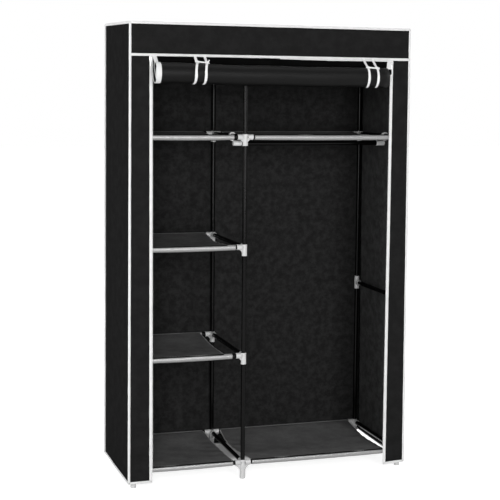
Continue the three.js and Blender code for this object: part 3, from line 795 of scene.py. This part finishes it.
def clothPanel(name, xs, ys, zs, normal, seed=1, hollow=0.0, sag=None, material=coverCloth, nodes=()):
    # A flat panel spanned by two ranges; the range with one value is its plane. It has a shallow hollow, the
    # product of two half sine waves, and soft ripples, which fade out at its seams.
    ranges = [np.atleast_1d(np.asarray(v, float)) for v in (xs, ys, zs)]
    plane = next(k for k, v in enumerate(ranges) if len(v) == 1)
    first, second = [k for k in range(3) if k != plane]
    wide, tall = [ranges[k][-1] - ranges[k][0] for k in (first, second)]
    u, v = np.meshgrid(ranges[first], ranges[second], indexing="ij")
    uShare, vShare = (u - ranges[first][0]) / wide, (v - ranges[second][0]) / tall
    fromSeam = np.minimum.reduce([uShare * wide, (1 - uShare) * wide, vShare * tall, (1 - vShare) * tall])
    if sag is None:
        off = hollow * np.sin(np.pi * uShare) * np.sin(np.pi * vShare)
        off = off + np.minimum(1, fromSeam / cover["seamFade"]) * ripple(u, v, cover["waves"], seed)
    else:
        off = sag(u, v)
    grid = np.zeros((*u.shape, 3))
    grid[..., first], grid[..., second] = u, v
    grid[..., plane] = ranges[plane][0] - normal * (cover["inset"] + off)
    # the faces look along the normal
    turned = (normal > 0) == (plane == 1)
    panel = makePiece(name, [shell(hang(grid), uv=np.stack([u, v], -1), turned=turned)], material, "cover_cloth",
                      replaces=nodes)
    thicken(panel, cover["cloth"], 0)
    return panel


def stepsOver(a, b):
    # Grid lines set evenly from one place to another, about a step apart
    return np.linspace(a, b, max(3, int(abs(b - a) / cover["step"]) + 1))


def roofSag(x, y):
    # The roof dips between the tubes of its two bays, as the square of a sine each way
    xs, ys = list(columns.values()), list(rows.values())
    shareX = np.where(x < xs[1], (x - xs[0]) / (xs[1] - xs[0]), (x - xs[1]) / (xs[2] - xs[1]))
    shareY = (y - ys[0]) / (ys[1] - ys[0])
    dip = [np.where((s > 0) & (s < 1), np.sin(np.pi * s) ** 2, 0) for s in (shareX, shareY)]
    return cover["roofSag"] * dip[0] * dip[1] * (1 + 0.15 * np.sin(x * 23 + y * 9))


acrossSteps, depthSteps, heightSteps = (
    stepsOver(coverLeft, coverRight), stepsOver(frontFace, backFace), stepsOver(hemZ, coverTop))
# the back panel takes the paler copy of the cloth, painted light inside the wardrobe
clothPanel("backPanel", acrossSteps, backFace, heightSteps, 1, 3, cover["backHollow"], material=backClothPaintedLight,
           nodes=["cover_back"])
for name, x, normal, seed in (("left", coverLeft, -1, 5), ("right", coverRight, 1, 7)):
    panel = clothPanel(f"sidePanel_{name}", x, depthSteps, heightSteps, normal, seed, cover["sideHollow"],
                       nodes=[f"cover_side_{name}"])
    # the inside of the side cloth is a paler copy of the same cloth: painted light where the wardrobe's inside is in
    # shade
    panel.data.materials.append(sideLiningPaintedLight)
    panel.modifiers["wall"].material_offset = 1
clothPanel("roofPanel", acrossSteps, depthSteps, coverTop, 1, sag=roofSag, nodes=["cover_roof"])
clothPanel("fascia", acrossSteps, frontFace - cover["fasciaOut"], stepsOver(fasciaZ, coverTop), -1, 11,
           cover["fasciaHollow"])
for name, a, b, seed in (("left", coverLeft, openingLeft, 13), ("right", openingRight, coverRight, 15)):
    clothPanel(f"frontBand_{name}", np.linspace(a, b, 9), frontFace, stepsOver(hemZ, fasciaZ + cover["bandTuck"]), -1,
               seed)
print("cover panels made")


# The white binding along the seams: how wide and deep it is, and how far it stands outside the cloth's edges
binding = {
    "width": 0.0088, "depth": 0.0034, "cornerDepth": 0.0066, "fasciaWidth": 0.0094, "step": 0.012, "wave": 0.0003,
    "unevenness": [(0.05, 7), (0.03, 23)], "frontIn": 0.0014, "rearOut": 0.0026, "hemOut": 0.0012, "roofDown": 0.001,
    "roofOut": 0.0004, "fasciaOut": 0.0012, "fasciaUp": 0.0005,
    "tapeUnder": 0.0046, "tapeIn": 0.0004, "tapeDepth": 0.0016,
}


def bindingRun(start, end, widthWay, proudWay, width=binding["width"], depth=binding["depth"], wave=binding["wave"],
               seed=1):
    # Binding tape along a seam: a flattened oval section, a little uneven along its length
    start, end = np.asarray(start, float), np.asarray(end, float)
    length = np.linalg.norm(end - start)
    share = np.linspace(0, 1, max(6, int(length / binding["step"])))
    turn = fullTurn(16)
    squared = np.sign(np.cos(turn)) * np.abs(np.cos(turn)) ** 0.6
    uneven = 1 + ripple(share[:, None] * length, np.zeros((1, 16)), binding["unevenness"], seed)[..., None]
    section = ((width / 2 * squared)[:, None] * widthWay + (depth / 2 * np.sin(turn))[:, None] * proudWay) * uneven
    strays = ripple(share * length, np.zeros(len(share)), [(wave, 5)], seed + 1)[:, None] * proudWay
    path = start + np.outer(share, end - start) + strays
    along = np.r_[0, share, 1] * length
    uv = together(along[:, None], np.linspace(0, 2 * width, 17)[None])
    handed = np.dot(np.cross(widthWay, proudWay), end - start) > 0
    return shell(capped(hang(path[:, None] + section)), False, True, uv=uv, turned=bool(handed))


def bind(name, *runs, material=bindingCloth):
    # One or more runs of binding as one piece
    return makePiece(name, runs, material, "ribbon", weld=1e-7)


roofLine, fasciaLine = coverTop - binding["roofDown"], fasciaZ + binding["fasciaUp"]
for name, x, out, edge in (("left", coverLeft, -1, openingLeft), ("right", coverRight, 1, openingRight)):
    outX, rearX, frontY, rearY = (x + out * binding["hemOut"], x + out * binding["rearOut"],
                                  frontFace + binding["frontIn"], backFace + binding["rearOut"])
    bind(f"cornerBinding_front_{name}", bindingRun((x, frontY, hemZ), (x, frontY, coverTop), right, -back,
                                                   depth=binding["cornerDepth"], seed=21 + out))
    bind(f"cornerBinding_rear_{name}", bindingRun((rearX, rearY, hemZ), (rearX, rearY, coverTop), back, out * right,
                                                  depth=binding["cornerDepth"], seed=25 + out))
    bind(f"roofBinding_side_{name}",
         bindingRun((x, frontFace, roofLine), (x, backFace, roofLine), up, out * right, seed=29 + out))
    bind(f"hemBinding_{name}",
         bindingRun((outX, frontFace, hemZ), (outX, backFace, hemZ), up, out * right, seed=33 + out),
         bindingRun((x, frontFace, hemZ), (edge, frontFace, hemZ), up, -back, seed=35 + out))
for name, y, z, proudWay, width, seed in (
    ("roofBinding_front", frontFace - binding["roofOut"], roofLine, -back, binding["width"], 41),
    ("roofBinding_rear", backFace, roofLine, back, binding["width"], 43),
    ("hemBinding_back", backFace, hemZ, back, binding["width"], 45),
    ("fasciaBinding", frontFace - binding["fasciaOut"], fasciaLine, -back, binding["fasciaWidth"], 47),
):
    bind(name, bindingRun((coverLeft, y, z), (coverRight, y, z), up, proudWay, width, seed=seed))

# the seam tape of the door shows under the fascia's binding, from the middle to the right
tapeY, tapeZ = frontFace + binding["tapeIn"], fasciaLine - binding["tapeUnder"]
tapePoints = [(0.02, tapeY, tapeZ + 0.0016), (0.20, tapeY, tapeZ - 0.0008), (openingRight - 0.008, tapeY, tapeZ)]
bind("doorSeamTape", *[
    bindingRun(a, b, up, -back, width, binding["tapeDepth"], seed=seed)
    for a, b, width, seed in zip(tapePoints, tapePoints[1:], (0.0075, 0.0085), (57, 59))])
print("binding sewn")


# Zips on the bands' inner edges: the tape's width, how far it stands over the edge, and one tooth's length,
# depth and width
zipper = {
    "tape": 0.0102, "overEdge": 0.0042, "tapeDepth": 0.0024, "tapeWave": 0.0002, "tapeDown": 0.003, "tapeUp": 0.004,
    "pitch": 0.0026, "tooth": (0.0032, 0.0022, 0.0018), "toothOut": 0.0008, "teethFrom": 0.004,
}


def zipTeeth(x, y, zLow, zHigh):
    # Small rounded teeth in a row: one six-sided bead repeated at the zip's pitch
    count = int((zHigh - zLow) / zipper["pitch"])
    z = zLow + zipper["pitch"] * (0.5 + np.arange(count))
    turn = fullTurn(6)
    stations, girth = np.array([-1, -0.8, 0, 0.8, 1])[:, None], np.array([0.0, 0.85, 1.0, 0.85, 0.0])[:, None]
    bead = together(stations, girth * np.cos(turn), girth * np.sin(turn)) * np.array(zipper["tooth"]) / 2
    points = hang(together(x, y, z)[:, None, None] + bead[None]).reshape(-1, 3)
    faces = gridFaces(*bead.shape[:2], False, True)[0]
    faces = (np.arange(count)[:, None, None] * bead[..., 0].size + faces[None]).reshape(-1, 4)
    return points, faces, np.zeros((len(faces), 4, 2))


for name, edge, inwardWay in (("left", openingLeft, 1), ("right", openingRight, -1)):
    x = edge + inwardWay * (zipper["overEdge"] - zipper["tape"] / 2)
    low, high = (x, frontFace, hemZ - zipper["tapeDown"]), (x, frontFace, fasciaZ + zipper["tapeUp"])
    run = bindingRun(low, high, right, -back, zipper["tape"], zipper["tapeDepth"], zipper["tapeWave"],
                     seed=51 + inwardWay)
    bind(f"zipTape_{name}", run, material=zipTape)
    teeth = zipTeeth(edge + inwardWay * (zipper["overEdge"] + zipper["toothOut"]), frontFace,
                     hemZ + zipper["teethFrom"], fasciaZ)
    makePiece(f"zipTeeth_{name}", [teeth], zipPlastic, "ribbon", weld=1e-7)
print("zips sewn in")


# The rolled door: its turns and core, where its middle lies in the node's box and its half-axes, how far the
# inner windings are drawn in at the left end, how high that end is tied, and its edge tape
roll = {
    "turns": 8.5, "core": 0.0135, "cloth": 0.0009, "stepsPerTurn": 40, "middle": (0.029, 0.0345),
    "half": (0.0324, 0.0364), "leftIn": 0.011, "leftRise": 0.0068, "grooveDepth": 0.0016, "grooveWidth": 0.007,
    "grooveReach": 0.016, "waves": [(0.0007, 5), (0.0003, 14)], "tape": 0.018, "tapeLift": 0.0007,
    "tapeWall": 0.0011, "tapeOut": 0.0012,
}
rollLow, rollHigh = boxOf("door_roll")
rollStart, rollEnd = rollLow[0], rollHigh[0]
rollY, rollZ = rollLow[1:] + roll["middle"]
halfY, halfZ = roll["half"]
ties = {"width": 0.0096, "wall": 0.0009, "spread": 0.035, "cross": 0.0052, "startShare": 0.60, "endShare": 1.44}
tieCentres = {side: centreOf(f"tie_{side}")[0] for side in ("left", "right")}
ribbonXs = [tieCentres[side] + hand * ties["spread"] / 2 for side in tieCentres for hand in (-1, 1)]


def groove(x):
    # How far the ribbons press into the roll, as a smooth dip under each
    return sum(roll["grooveDepth"] * np.exp(-(((x - r) / roll["grooveWidth"]) ** 2)) for r in ribbonXs)


def rise(x):
    # The roll is tied a little higher towards its left end
    return roll["leftRise"] * np.clip((0.06 - x) / 0.50, 0, 1.1) ** 1.3


def rollPoint(x, turns, lift=0.0):
    # A point on the spiral: the angle falls from the back, down, under and up the front, while the reach
    # shrinks evenly from the outer half-axes to the core. The outer turns are pressed in under the ribbons.
    share = turns / roll["turns"]
    angle = -2 * np.pi * turns
    slack = 0.0002 * np.sin(3 * angle + 1.3 * turns) + 0.0005 * np.sin(x * 21 + angle) * (1 - share)
    slack = slack + ripple(x, turns * 0.1, roll["waves"], 61)
    reach = lift + slack - groove(x) * np.clip(1 - turns / 4, 0, 1)
    reachY, reachZ = [half + (roll["core"] - half) * share + reach for half in (halfY, halfZ)]
    return together(x, rollY + reachY * np.cos(angle), rollZ + rise(x) + reachZ * np.sin(angle))


def rollEnds(turns):
    # The two ends of each turn: the inner windings lie deeper in the roll at both ends, most on the left
    step = np.clip((turns - 0.75) / 0.4, 0, 1)
    leftEnd = rollStart - 0.0018 + roll["leftIn"] * step * step * (3 - 2 * step) + 0.0010 * np.sin(turns * 5.1) * step
    rightEnd = rollEnd - 0.004 * turns / roll["turns"] + 0.001 * np.sin(turns * 4.3)
    return leftEnd, rightEnd


turns = np.linspace(0, roll["turns"], int(roll["turns"] * roll["stepsPerTurn"]) + 1)[:, None]
leftEnd, rightEnd = rollEnds(turns)
# the steps across the roll are finer under the ribbons
nearRibbons = [r + np.linspace(-roll["grooveReach"], roll["grooveReach"], 9) for r in ribbonXs]
denseShare = np.unique(np.r_[np.linspace(0, 1, 40), *[(x - rollStart) / (rollEnd - rollStart) for x in nearRibbons]])
spiralX = leftEnd + denseShare[None] * (rightEnd - leftEnd)
spiral = rollPoint(spiralX, turns)
length = lengthAlong(spiral[:, 20])
rolled = makePiece("doorRolled", [shell(spiral, uv=together(spiralX, length[:, None]))], doorCloth, "cover_cloth",
                   body="door", replaces=["door_roll"])
thicken(rolled, roll["cloth"], 0)

# Zip tape along the door's edges: a band of the same spiral, a little outside the cloth
for name, fromTurn, side in (("left", 0.0, 1), ("right", 1.15, -1)):
    tapeTurns = turns[turns[:, 0] >= fromTurn]
    edgeX = rollEnds(tapeTurns)[0 if side > 0 else 1]
    share = np.linspace(0, 1, 6)[None]
    grid = rollPoint(edgeX - side * roll["tapeOut"] + side * share * roll["tape"], tapeTurns, roll["tapeLift"])
    uv = together(np.linspace(0, 1.4, len(tapeTurns))[:, None], share * roll["tape"])
    piece = makePiece(f"doorTape_{name}", [shell(grid, uv=uv, turned=side < 0)], zipTape, "ribbon", body="door")
    thicken(piece, roll["tapeWall"], 0)

# The short stretch of door between the fascia's seam and the roll: it follows the roll down, and its cloth is darkened
# as painted shade under the fascia
tail = {
    "top": fasciaZ + 0.003, "seamY": frontFace + 0.0014, "rows": 46, "columns": 60, "waves": [(0.0006, 7)],
    "leftTop": -0.4472, "leftSlant": 0.024, "rightTop": openingRight - 0.001, "rightFold": 0.036, "tape": 0.0155,
    # each edge tape: its last row, how its width grows downwards and how far in front of the cloth it lies
    "left": (46, -0.25, 0.0011), "right": (26, 0.7, 0.0018),
}
tailZ = np.linspace(tail["top"], rollZ, tail["rows"])[:, None]
tailShare = (tail["top"] - tailZ) / (tail["top"] - rollZ)
tailLeft = tail["leftTop"] + tail["leftSlant"] * np.clip(tailShare, 0, 0.5)
tailRight = tail["rightTop"] - tail["rightFold"] * np.clip((tailShare - 0.80) / 0.15, 0, 1) ** 1.5


def tailY(x, z, share):
    # From the seam the cloth bends back to the roll's rear as a quarter of a sine wave
    return (tail["seamY"] + (rollY + halfY - tail["seamY"]) * np.sin(share * np.pi / 2)
            + ripple(x, z, tail["waves"], 71) * share)


tailX = tailLeft + np.linspace(0, 1, tail["columns"])[None] * (tailRight - tailLeft)
blendStart, blendEnd = (0, rollY, fasciaZ - 0.002), (0, rollY, rollZ + 0.008)
hanging = makePiece("doorHanging", [shell(together(tailX, tailY(tailX, tailZ, tailShare), tailZ),
                                          uv=together(tailX, tailZ))], shadedCloth, "cover_cloth", body=None)
for name, edgeX, side in (("left", tailLeft, 1), ("right", tailRight, -1)):
    lowest, taper, inFront = tail[name]
    share = np.linspace(0, 1, 6)[None]
    x = (edgeX + side * share * tail["tape"] * (1 + taper * tailShare))[:lowest]
    z = tailZ[:lowest]
    y = tailY(x, z, tailShare[:lowest] / tailShare[lowest - 1]) - inFront
    piece = makePiece(f"doorHangingTape_{name}", [shell(together(x, y, z), uv=together(z, share * tail["tape"]))],
                      zipTape, "ribbon", body=None)
    thicken(piece, roll["tapeWall"], 0)
    # the lowest height the tape would reach down to when the door is let down; nothing uses it
    low = max(float(z[-1, 0]) + 0.001, blendEnd[2])
    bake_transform(piece)
thicken(hanging, roll["cloth"], 0)
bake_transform(hanging)
print("door rolled,", round(float(length[-1]), 3), "m of cloth")


def outsideRoll(x, share, lift):
    # A point just outside the roll's outer turn. The share counts half turns from the back over the top.
    angle, reach = np.pi * share, lift - groove(x)
    return together(x, rollY + (halfY + reach) * np.cos(angle), rollZ + rise(x) + (halfZ + reach) * np.sin(angle))


def ribbonShell(path, widthWay, width, wall, curl=0.0):
    # A flat ribbon: a lens-shaped section carried along a path, with its width along the given direction
    ahead = np.gradient(path, axis=0)
    ahead /= np.linalg.norm(ahead, axis=1, keepdims=True)
    wide = widthWay - (widthWay * ahead).sum(1, keepdims=True) * ahead
    wide /= np.linalg.norm(wide, axis=1, keepdims=True)
    out = np.cross(ahead, wide)
    turn = fullTurn(12)
    across = np.sign(np.cos(turn)) * np.abs(np.cos(turn)) ** 0.5
    widths = np.broadcast_to(width, (len(path),))
    section = (widths[:, None] / 2 * across)[..., None] * wide[:, None]
    section = section + (wall / 2 * np.sin(turn) + curl * across**2)[None, :, None] * out[:, None]
    step = lengthAlong(path)
    uv = together(np.r_[step[0], step, step[-1]][:, None], np.linspace(0, 2 * float(np.max(widths)), 13)[None])
    return shell(capped(path[:, None] + section), False, True, uv=uv)


def smoothPath(points, count):
    # A Catmull-Rom curve through the points
    p = np.asarray(points, float)
    p = np.concatenate([2 * p[:1] - p[1:2], p, 2 * p[-1:] - p[-2:-1]])
    t = np.linspace(0, len(p) - 3 - 1e-9, count)
    k, s = t.astype(int), (t % 1)[:, None]
    before, a, b, after = p[k], p[k + 1], p[k + 2], p[k + 3]
    return 0.5 * (2 * a + (b - before) * s + (2 * before - 5 * a + 4 * b - after) * s**2
                  + (3 * a - before - 3 * b + after) * s**3)


def tiePiece(side, startShift, endShift, knotDrops, flicks):
    # A pair of ribbons from under the fascia's binding, over the roll's front and under it, with a thin
    # ribbon knotted across them just above the roll. A flick is a loose end's way across and up.
    shells, knots = [], []
    for hand, drop, looseEnds in zip((-1, 1), knotDrops, flicks):
        x = tieCentres[side] + hand * ties["spread"] / 2
        share = np.linspace(ties["startShare"], ties["endShare"], 20)
        shift = startShift * np.clip((0.95 - share) / 0.4, 0, 1) ** 1.5
        shift = shift + endShift * np.clip((share - 1.2) / 0.4, 0, 1) ** 2
        over = outsideRoll(x + shift, share, 0.0014)
        startX = x + startShift * 1.1
        start = [[startX, frontFace - 0.0018, fasciaZ + 0.004], [startX, frontFace - 0.006, fasciaZ - 0.005],
                 [startX, frontFace - 0.021, fasciaZ - 0.017]]
        end = over[-1] + [[-0.0008, 0.003, -0.0012]]
        path = smoothPath(np.concatenate([start, over, end]), 90)
        width = ties["width"] * (1 - 0.12 * np.sin(np.linspace(0, 5, 90)) ** 2)
        shells.append(ribbonShell(path, right, width, ties["wall"], curl=0.0004))
        # the thin cross ribbon is knotted round each wide one, with short ends
        knot = path[np.argmax(path[:, 2] < fasciaZ - drop)] + [0, -0.0012, 0]
        turn = np.linspace(0, 2 * np.pi, 15)
        loop = knot + np.stack([0.0056 * np.cos(turn), 0.0024 * np.sin(turn), 0.0020 * np.sin(turn)], -1)
        shells.append(ribbonShell(loop, up, ties["cross"], 0.0014))
        for sideways, upwards in looseEnds:
            loose = knot + np.array([[0, -0.002, 0], [sideways * 0.005, -0.004, 0.003 * upwards],
                                     [sideways * 0.0085, -0.004, 0.0085 * upwards]])
            shells.append(ribbonShell(smoothPath(loose, 12), right + 0.3 * up, ties["cross"] * 0.7, 0.0010))
        knots.append(knot)
    between = (knots[0] + knots[1]) / 2 + [0, -0.0015, -0.0008]
    cross = smoothPath([knots[0], between, knots[1]], 24) - [0, 0.0012, 0]
    shells.append(ribbonShell(cross, up, ties["cross"], 0.0014))
    piece = makePiece(f"tieRibbons_{side}", shells, ribbonSatin, "ribbon", weld=1e-7, replaces=[f"tie_{side}"])
    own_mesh(piece)


tiePiece("left", 0.010, -0.006, (0.020, 0.021), (((-1, 1), (1, -1)), ((1, 1), (1, -0.4))))
tiePiece("right", 0.002, 0.004, (0.028, 0.031), (((1, -0.7),), ((1, 0.1), (1, -0.6))))
print("ribbons tied")


# Zip sliders and pulls: the slider's outline, its plate and bridge, and the pull's leaf
slider = {"top": 0.011, "waist": 0.008, "height": 0.016, "depth": 0.0034, "back": 0.0006, "rim": 0.0007,
          "bridge": 0.0035, "bridgeBar": (0.0024, 0.0012)}
pull = {"top": -0.0056, "bottom": -0.0250, "width": 0.0074, "taper": 0.0020, "tipTaper": 0.0018, "wall": 0.0017,
        "forward": 0.0012, "legX": 0.0028, "bar": 0.0018, "gripZ": (-0.019, -0.0205, -0.022)}


def sliderShells(place):
    # A shield-shaped body with rounded edges, and a bridge over it bent from a flat bar
    s = slider
    halfTop, halfWaist, halfHeight = s["top"] / 2, s["waist"] / 2, s["height"] / 2
    share = np.linspace(0, 1, 13)
    bulge, narrowing = halfTop * (1 - 0.12 * share**4), (s["top"] - s["waist"]) / 2
    outline = np.concatenate([
        together(bulge, halfHeight * share),
        together(np.linspace(halfTop * 0.88, -halfTop * 0.88, 9)[1:-1], halfHeight + 0.0004),
        together(-bulge[::-1], halfHeight * share[::-1]),
        together(-halfTop + narrowing * share[1:], -halfHeight * share[1:]),
        together(np.linspace(-halfWaist, halfWaist, 7)[1:-1], -halfHeight - 0.0003),
        together(halfWaist + narrowing * share[:-1], -halfHeight * share[::-1][:-1]),
    ])
    layers = [(0.0, 0.0), (0.0, 0.86), (s["rim"], 1.0),
              (s["depth"] - s["rim"], 1.0), (s["depth"], 0.86), (s["depth"], 0.0)]
    body = np.stack([together(outline[:, 0] * k, y, outline[:, 1] * k) for y, k in layers])
    turn = np.linspace(np.pi / 2, 3 * np.pi / 2, 19)
    arc = together(0.0, s["bridge"] * np.cos(turn) + 0.0003, s["bridge"] * np.sin(turn))
    bridge = ribbonShell(arc, right, *s["bridgeBar"])
    return [shell(body + place, False, True, turned=True), (bridge[0] + place, *bridge[1:])]


def pullShells(place):
    # A flat tapered leaf with a slot at its top, hanging from a bar that lies in the slider's bridge
    p = pull
    leafZ = np.linspace(p["top"], p["bottom"], 14)
    share = (leafZ - leafZ[0]) / (leafZ[-1] - leafZ[0])
    width = p["width"] - p["taper"] * share - p["tipTaper"] * np.clip((share - 0.88) / 0.12, 0, 1) ** 2
    parts = [ribbonShell(together(0.0, 0.0, leafZ), right, width, p["wall"])]
    for x in (-p["legX"], p["legX"]):
        leg = smoothPath([[x, 0, 0.0002], [x, 0, -0.003], [x, 0, -0.0064]], 8)
        parts.append(ribbonShell(leg, right, p["bar"], 0.0016))
    bar = smoothPath([[-0.0037, 0, 0], [0, 0, 0], [0.0037, 0, 0]], 8)
    parts.append(ribbonShell(bar, up, p["bar"], p["bar"]))
    for z in p["gripZ"]:
        ridge = np.array([[-0.0016, -0.0009, z], [0, -0.0009, z], [0.0016, -0.0009, z]])
        parts.append(ribbonShell(ridge, up, 0.0006, 0.0005))
    return [(points + place, faces, corners) for points, faces, corners in parts]


for side in ("left", "right"):
    low, high = boxOf(f"zip_slider_{side}")
    face = np.array([(low[0] + high[0]) / 2, high[1] - slider["depth"] - slider["back"], (low[2] + high[2]) / 2])
    for kind, shells in (("slider", sliderShells(face)), ("pull", pullShells(face - [0, pull["forward"], 0]))):
        makePiece(f"{kind}_{side}", shells, zipPaint, "zip", f"{kind}_{side}", [f"zip_{kind}_{side}"], weld=1e-7,
                  crease=40)
print("sliders hung")


def seenRays(tree, *kinds):
    # 1 for the rays of the named kinds, and 0 for the rays that light the object
    path = newNode(tree, "ShaderNodeLightPath", (-4, 2))
    seen = path.outputs[kinds[0]]
    for k, kind in enumerate(kinds[1:]):
        seen = calculate(tree, (k - 3, 2), "MAXIMUM", seen, path.outputs[kind])
    return seen


# Floor and sky: white to the camera, and only as bright as the photograph's room for the light they give
room = {"sky": 0.12, "floor": 0.62, "floorSize": 30, "glowNear": 0.86, "glowFar": 0.95, "shade": 0.88}
world = bpy.data.worlds.new("studio")
bpy.context.scene.world = world
world.use_nodes = True
tree = world.node_tree
sky = tree.nodes["Background"]
sky.inputs["Color"].default_value = (1, 1, 1, 1)
seen = seenRays(tree, "Is Camera Ray", "Is Glossy Ray", "Is Transmission Ray")
tree.links.new(calculate(tree, (-1, 2), "MULTIPLY_ADD", seen, 1.0 - room["sky"], room["sky"]), sky.inputs["Strength"])

floorMaterial = bpy.data.materials.new("paleFloor")
floorMaterial.use_nodes = True
tree = floorMaterial.node_tree
paint = tree.nodes["Principled BSDF"]
for socket, value in (("Base Color", grey(room["floor"])), ("Roughness", 0.9), ("Specular IOR Level", 0.1),
                      ("Emission Color", (1, 1, 1, 1))):
    paint.inputs[socket].default_value = value
place = newNode(tree, "ShaderNodeTexCoord", (-8, 4))
reach = newNode(tree, "ShaderNodeVectorMath", (-7, 3), operation="LENGTH")
tree.links.new(place.outputs["Object"], reach.inputs[0])
parts = splitVector(tree, (-7, 5), place.outputs["Object"])
# the floor's glow to the camera grows towards white far off; under the middle of the wardrobe's back it is taken away,
# which paints the floor there darker as shade, lit by real light only
glow = ramp(tree, (-6, 3), reach.outputs["Value"], 0.9, 3.0, room["glowNear"], room["glowFar"])
under = calculate(tree, (-4, 5), "MULTIPLY", ramp(tree, (-6, 4), parts["Y"], -0.02, 0.10, 0, room["shade"]),
                  ramp(tree, (-6, 5), parts["Y"], 0.262, 0.30, 1, 0))
sides = ramp(tree, (-5, 6), calculate(tree, (-6, 7), "ABSOLUTE", parts["X"]), 0.26, 0.36, 1, 0)
shade = calculate(tree, (-3, 5), "MULTIPLY", under, sides)
glow = calculate(tree, (-2, 4), "MULTIPLY", glow, calculate(tree, (-2.5, 5), "SUBTRACT", 1.0, shade))
seen = seenRays(tree, "Is Camera Ray", "Is Glossy Ray")
tree.links.new(calculate(tree, (-1, 3), "MULTIPLY", seen, glow), paint.inputs["Emission Strength"])
half = room["floorSize"]
floor = bpy.data.meshes.new("floor")
floor.from_pydata([(-half, -half, 0), (half, -half, 0), (half, half, 0), (-half, half, 0)], [], [(0, 1, 2, 3)])
floor.materials.append(floorMaterial)
floorPiece = bpy.data.objects.new("floor", floor)
bpy.context.scene.collection.objects.link(floorPiece)
floorPiece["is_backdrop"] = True

# Soft lamps round the wardrobe: azimuth (0 in front, growing towards its right side), distance, height, size
# and power. All look at its middle.
lamps = {
    "keyRight": (6, 4.8, 1.5, (1.0, 2.1), 88), "keyLeft": (-22, 4.8, 1.5, (1.0, 2.1), 86),
    "fillLeft": (-85, 4.6, 1.7, (2.0, 2.0), 112), "fillRight": (85, 4.6, 1.9, (2.0, 2.0), 60),
    "rearSoft": (172, 5.0, 2.2, (2.4, 2.4), 110), "aboveSoft": (180, 0.1, 4.7, (2.8, 2.8), 34),
}
lampAim = Vector((0, 0, 0.85))
for name, (azimuth, distance, height, size, power) in lamps.items():
    lamp = bpy.data.lights.new(name, "AREA")
    lamp.shape = "RECTANGLE"
    lamp.size, lamp.size_y = size
    lamp.energy = power
    stand = bpy.data.objects.new(name, lamp)
    turn = math.radians(azimuth)
    stand.location = (distance * math.sin(turn), -distance * math.cos(turn), height)
    stand.rotation_mode = "QUATERNION"
    stand.rotation_quaternion = (lampAim - stand.location).to_track_quat("-Z", "Y")
    bpy.context.scene.collection.objects.link(stand)

# The photograph's camera: it looks along yaw and pitch, then turns by its roll. The shift moves the picture's
# middle from the row that the lens looks at.
eye = {"place": (-1.37843, -4.35065, 1.37492), "yaw": 0.3011, "pitch": 0.08775, "roll": 0.0088,
       "focalPixels": 1221.87, "middleRow": 208.0, "pixels": 500, "sensor": 36}
yaw, pitch, tilt = eye["yaw"], eye["pitch"], eye["roll"]
ahead = Vector((math.sin(yaw) * math.cos(pitch), math.cos(yaw) * math.cos(pitch), -math.sin(pitch)))
level = Vector((math.cos(yaw), -math.sin(yaw), 0))
above = level.cross(ahead)
sideways = level * math.cos(tilt) + above * math.sin(tilt)
upwards = above * math.cos(tilt) - level * math.sin(tilt)
lens = bpy.data.cameras.new("photoCamera")
lens.sensor_width = eye["sensor"]
lens.lens = eye["sensor"] * eye["focalPixels"] / eye["pixels"]
lens.shift_y = (eye["middleRow"] - eye["pixels"] / 2) / eye["pixels"]
lens.clip_start, lens.clip_end = 0.05, 100
camera = bpy.data.objects.new("photoCamera", lens)
axes = Matrix((sideways, upwards, -ahead)).transposed().to_4x4()
camera.matrix_world = Matrix.Translation(eye["place"]) @ axes
bpy.context.scene.collection.objects.link(camera)
bpy.context.scene.camera = camera
bpy.context.scene.view_settings.view_transform = "Standard"

bpy.context.view_layer.update()
low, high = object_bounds()
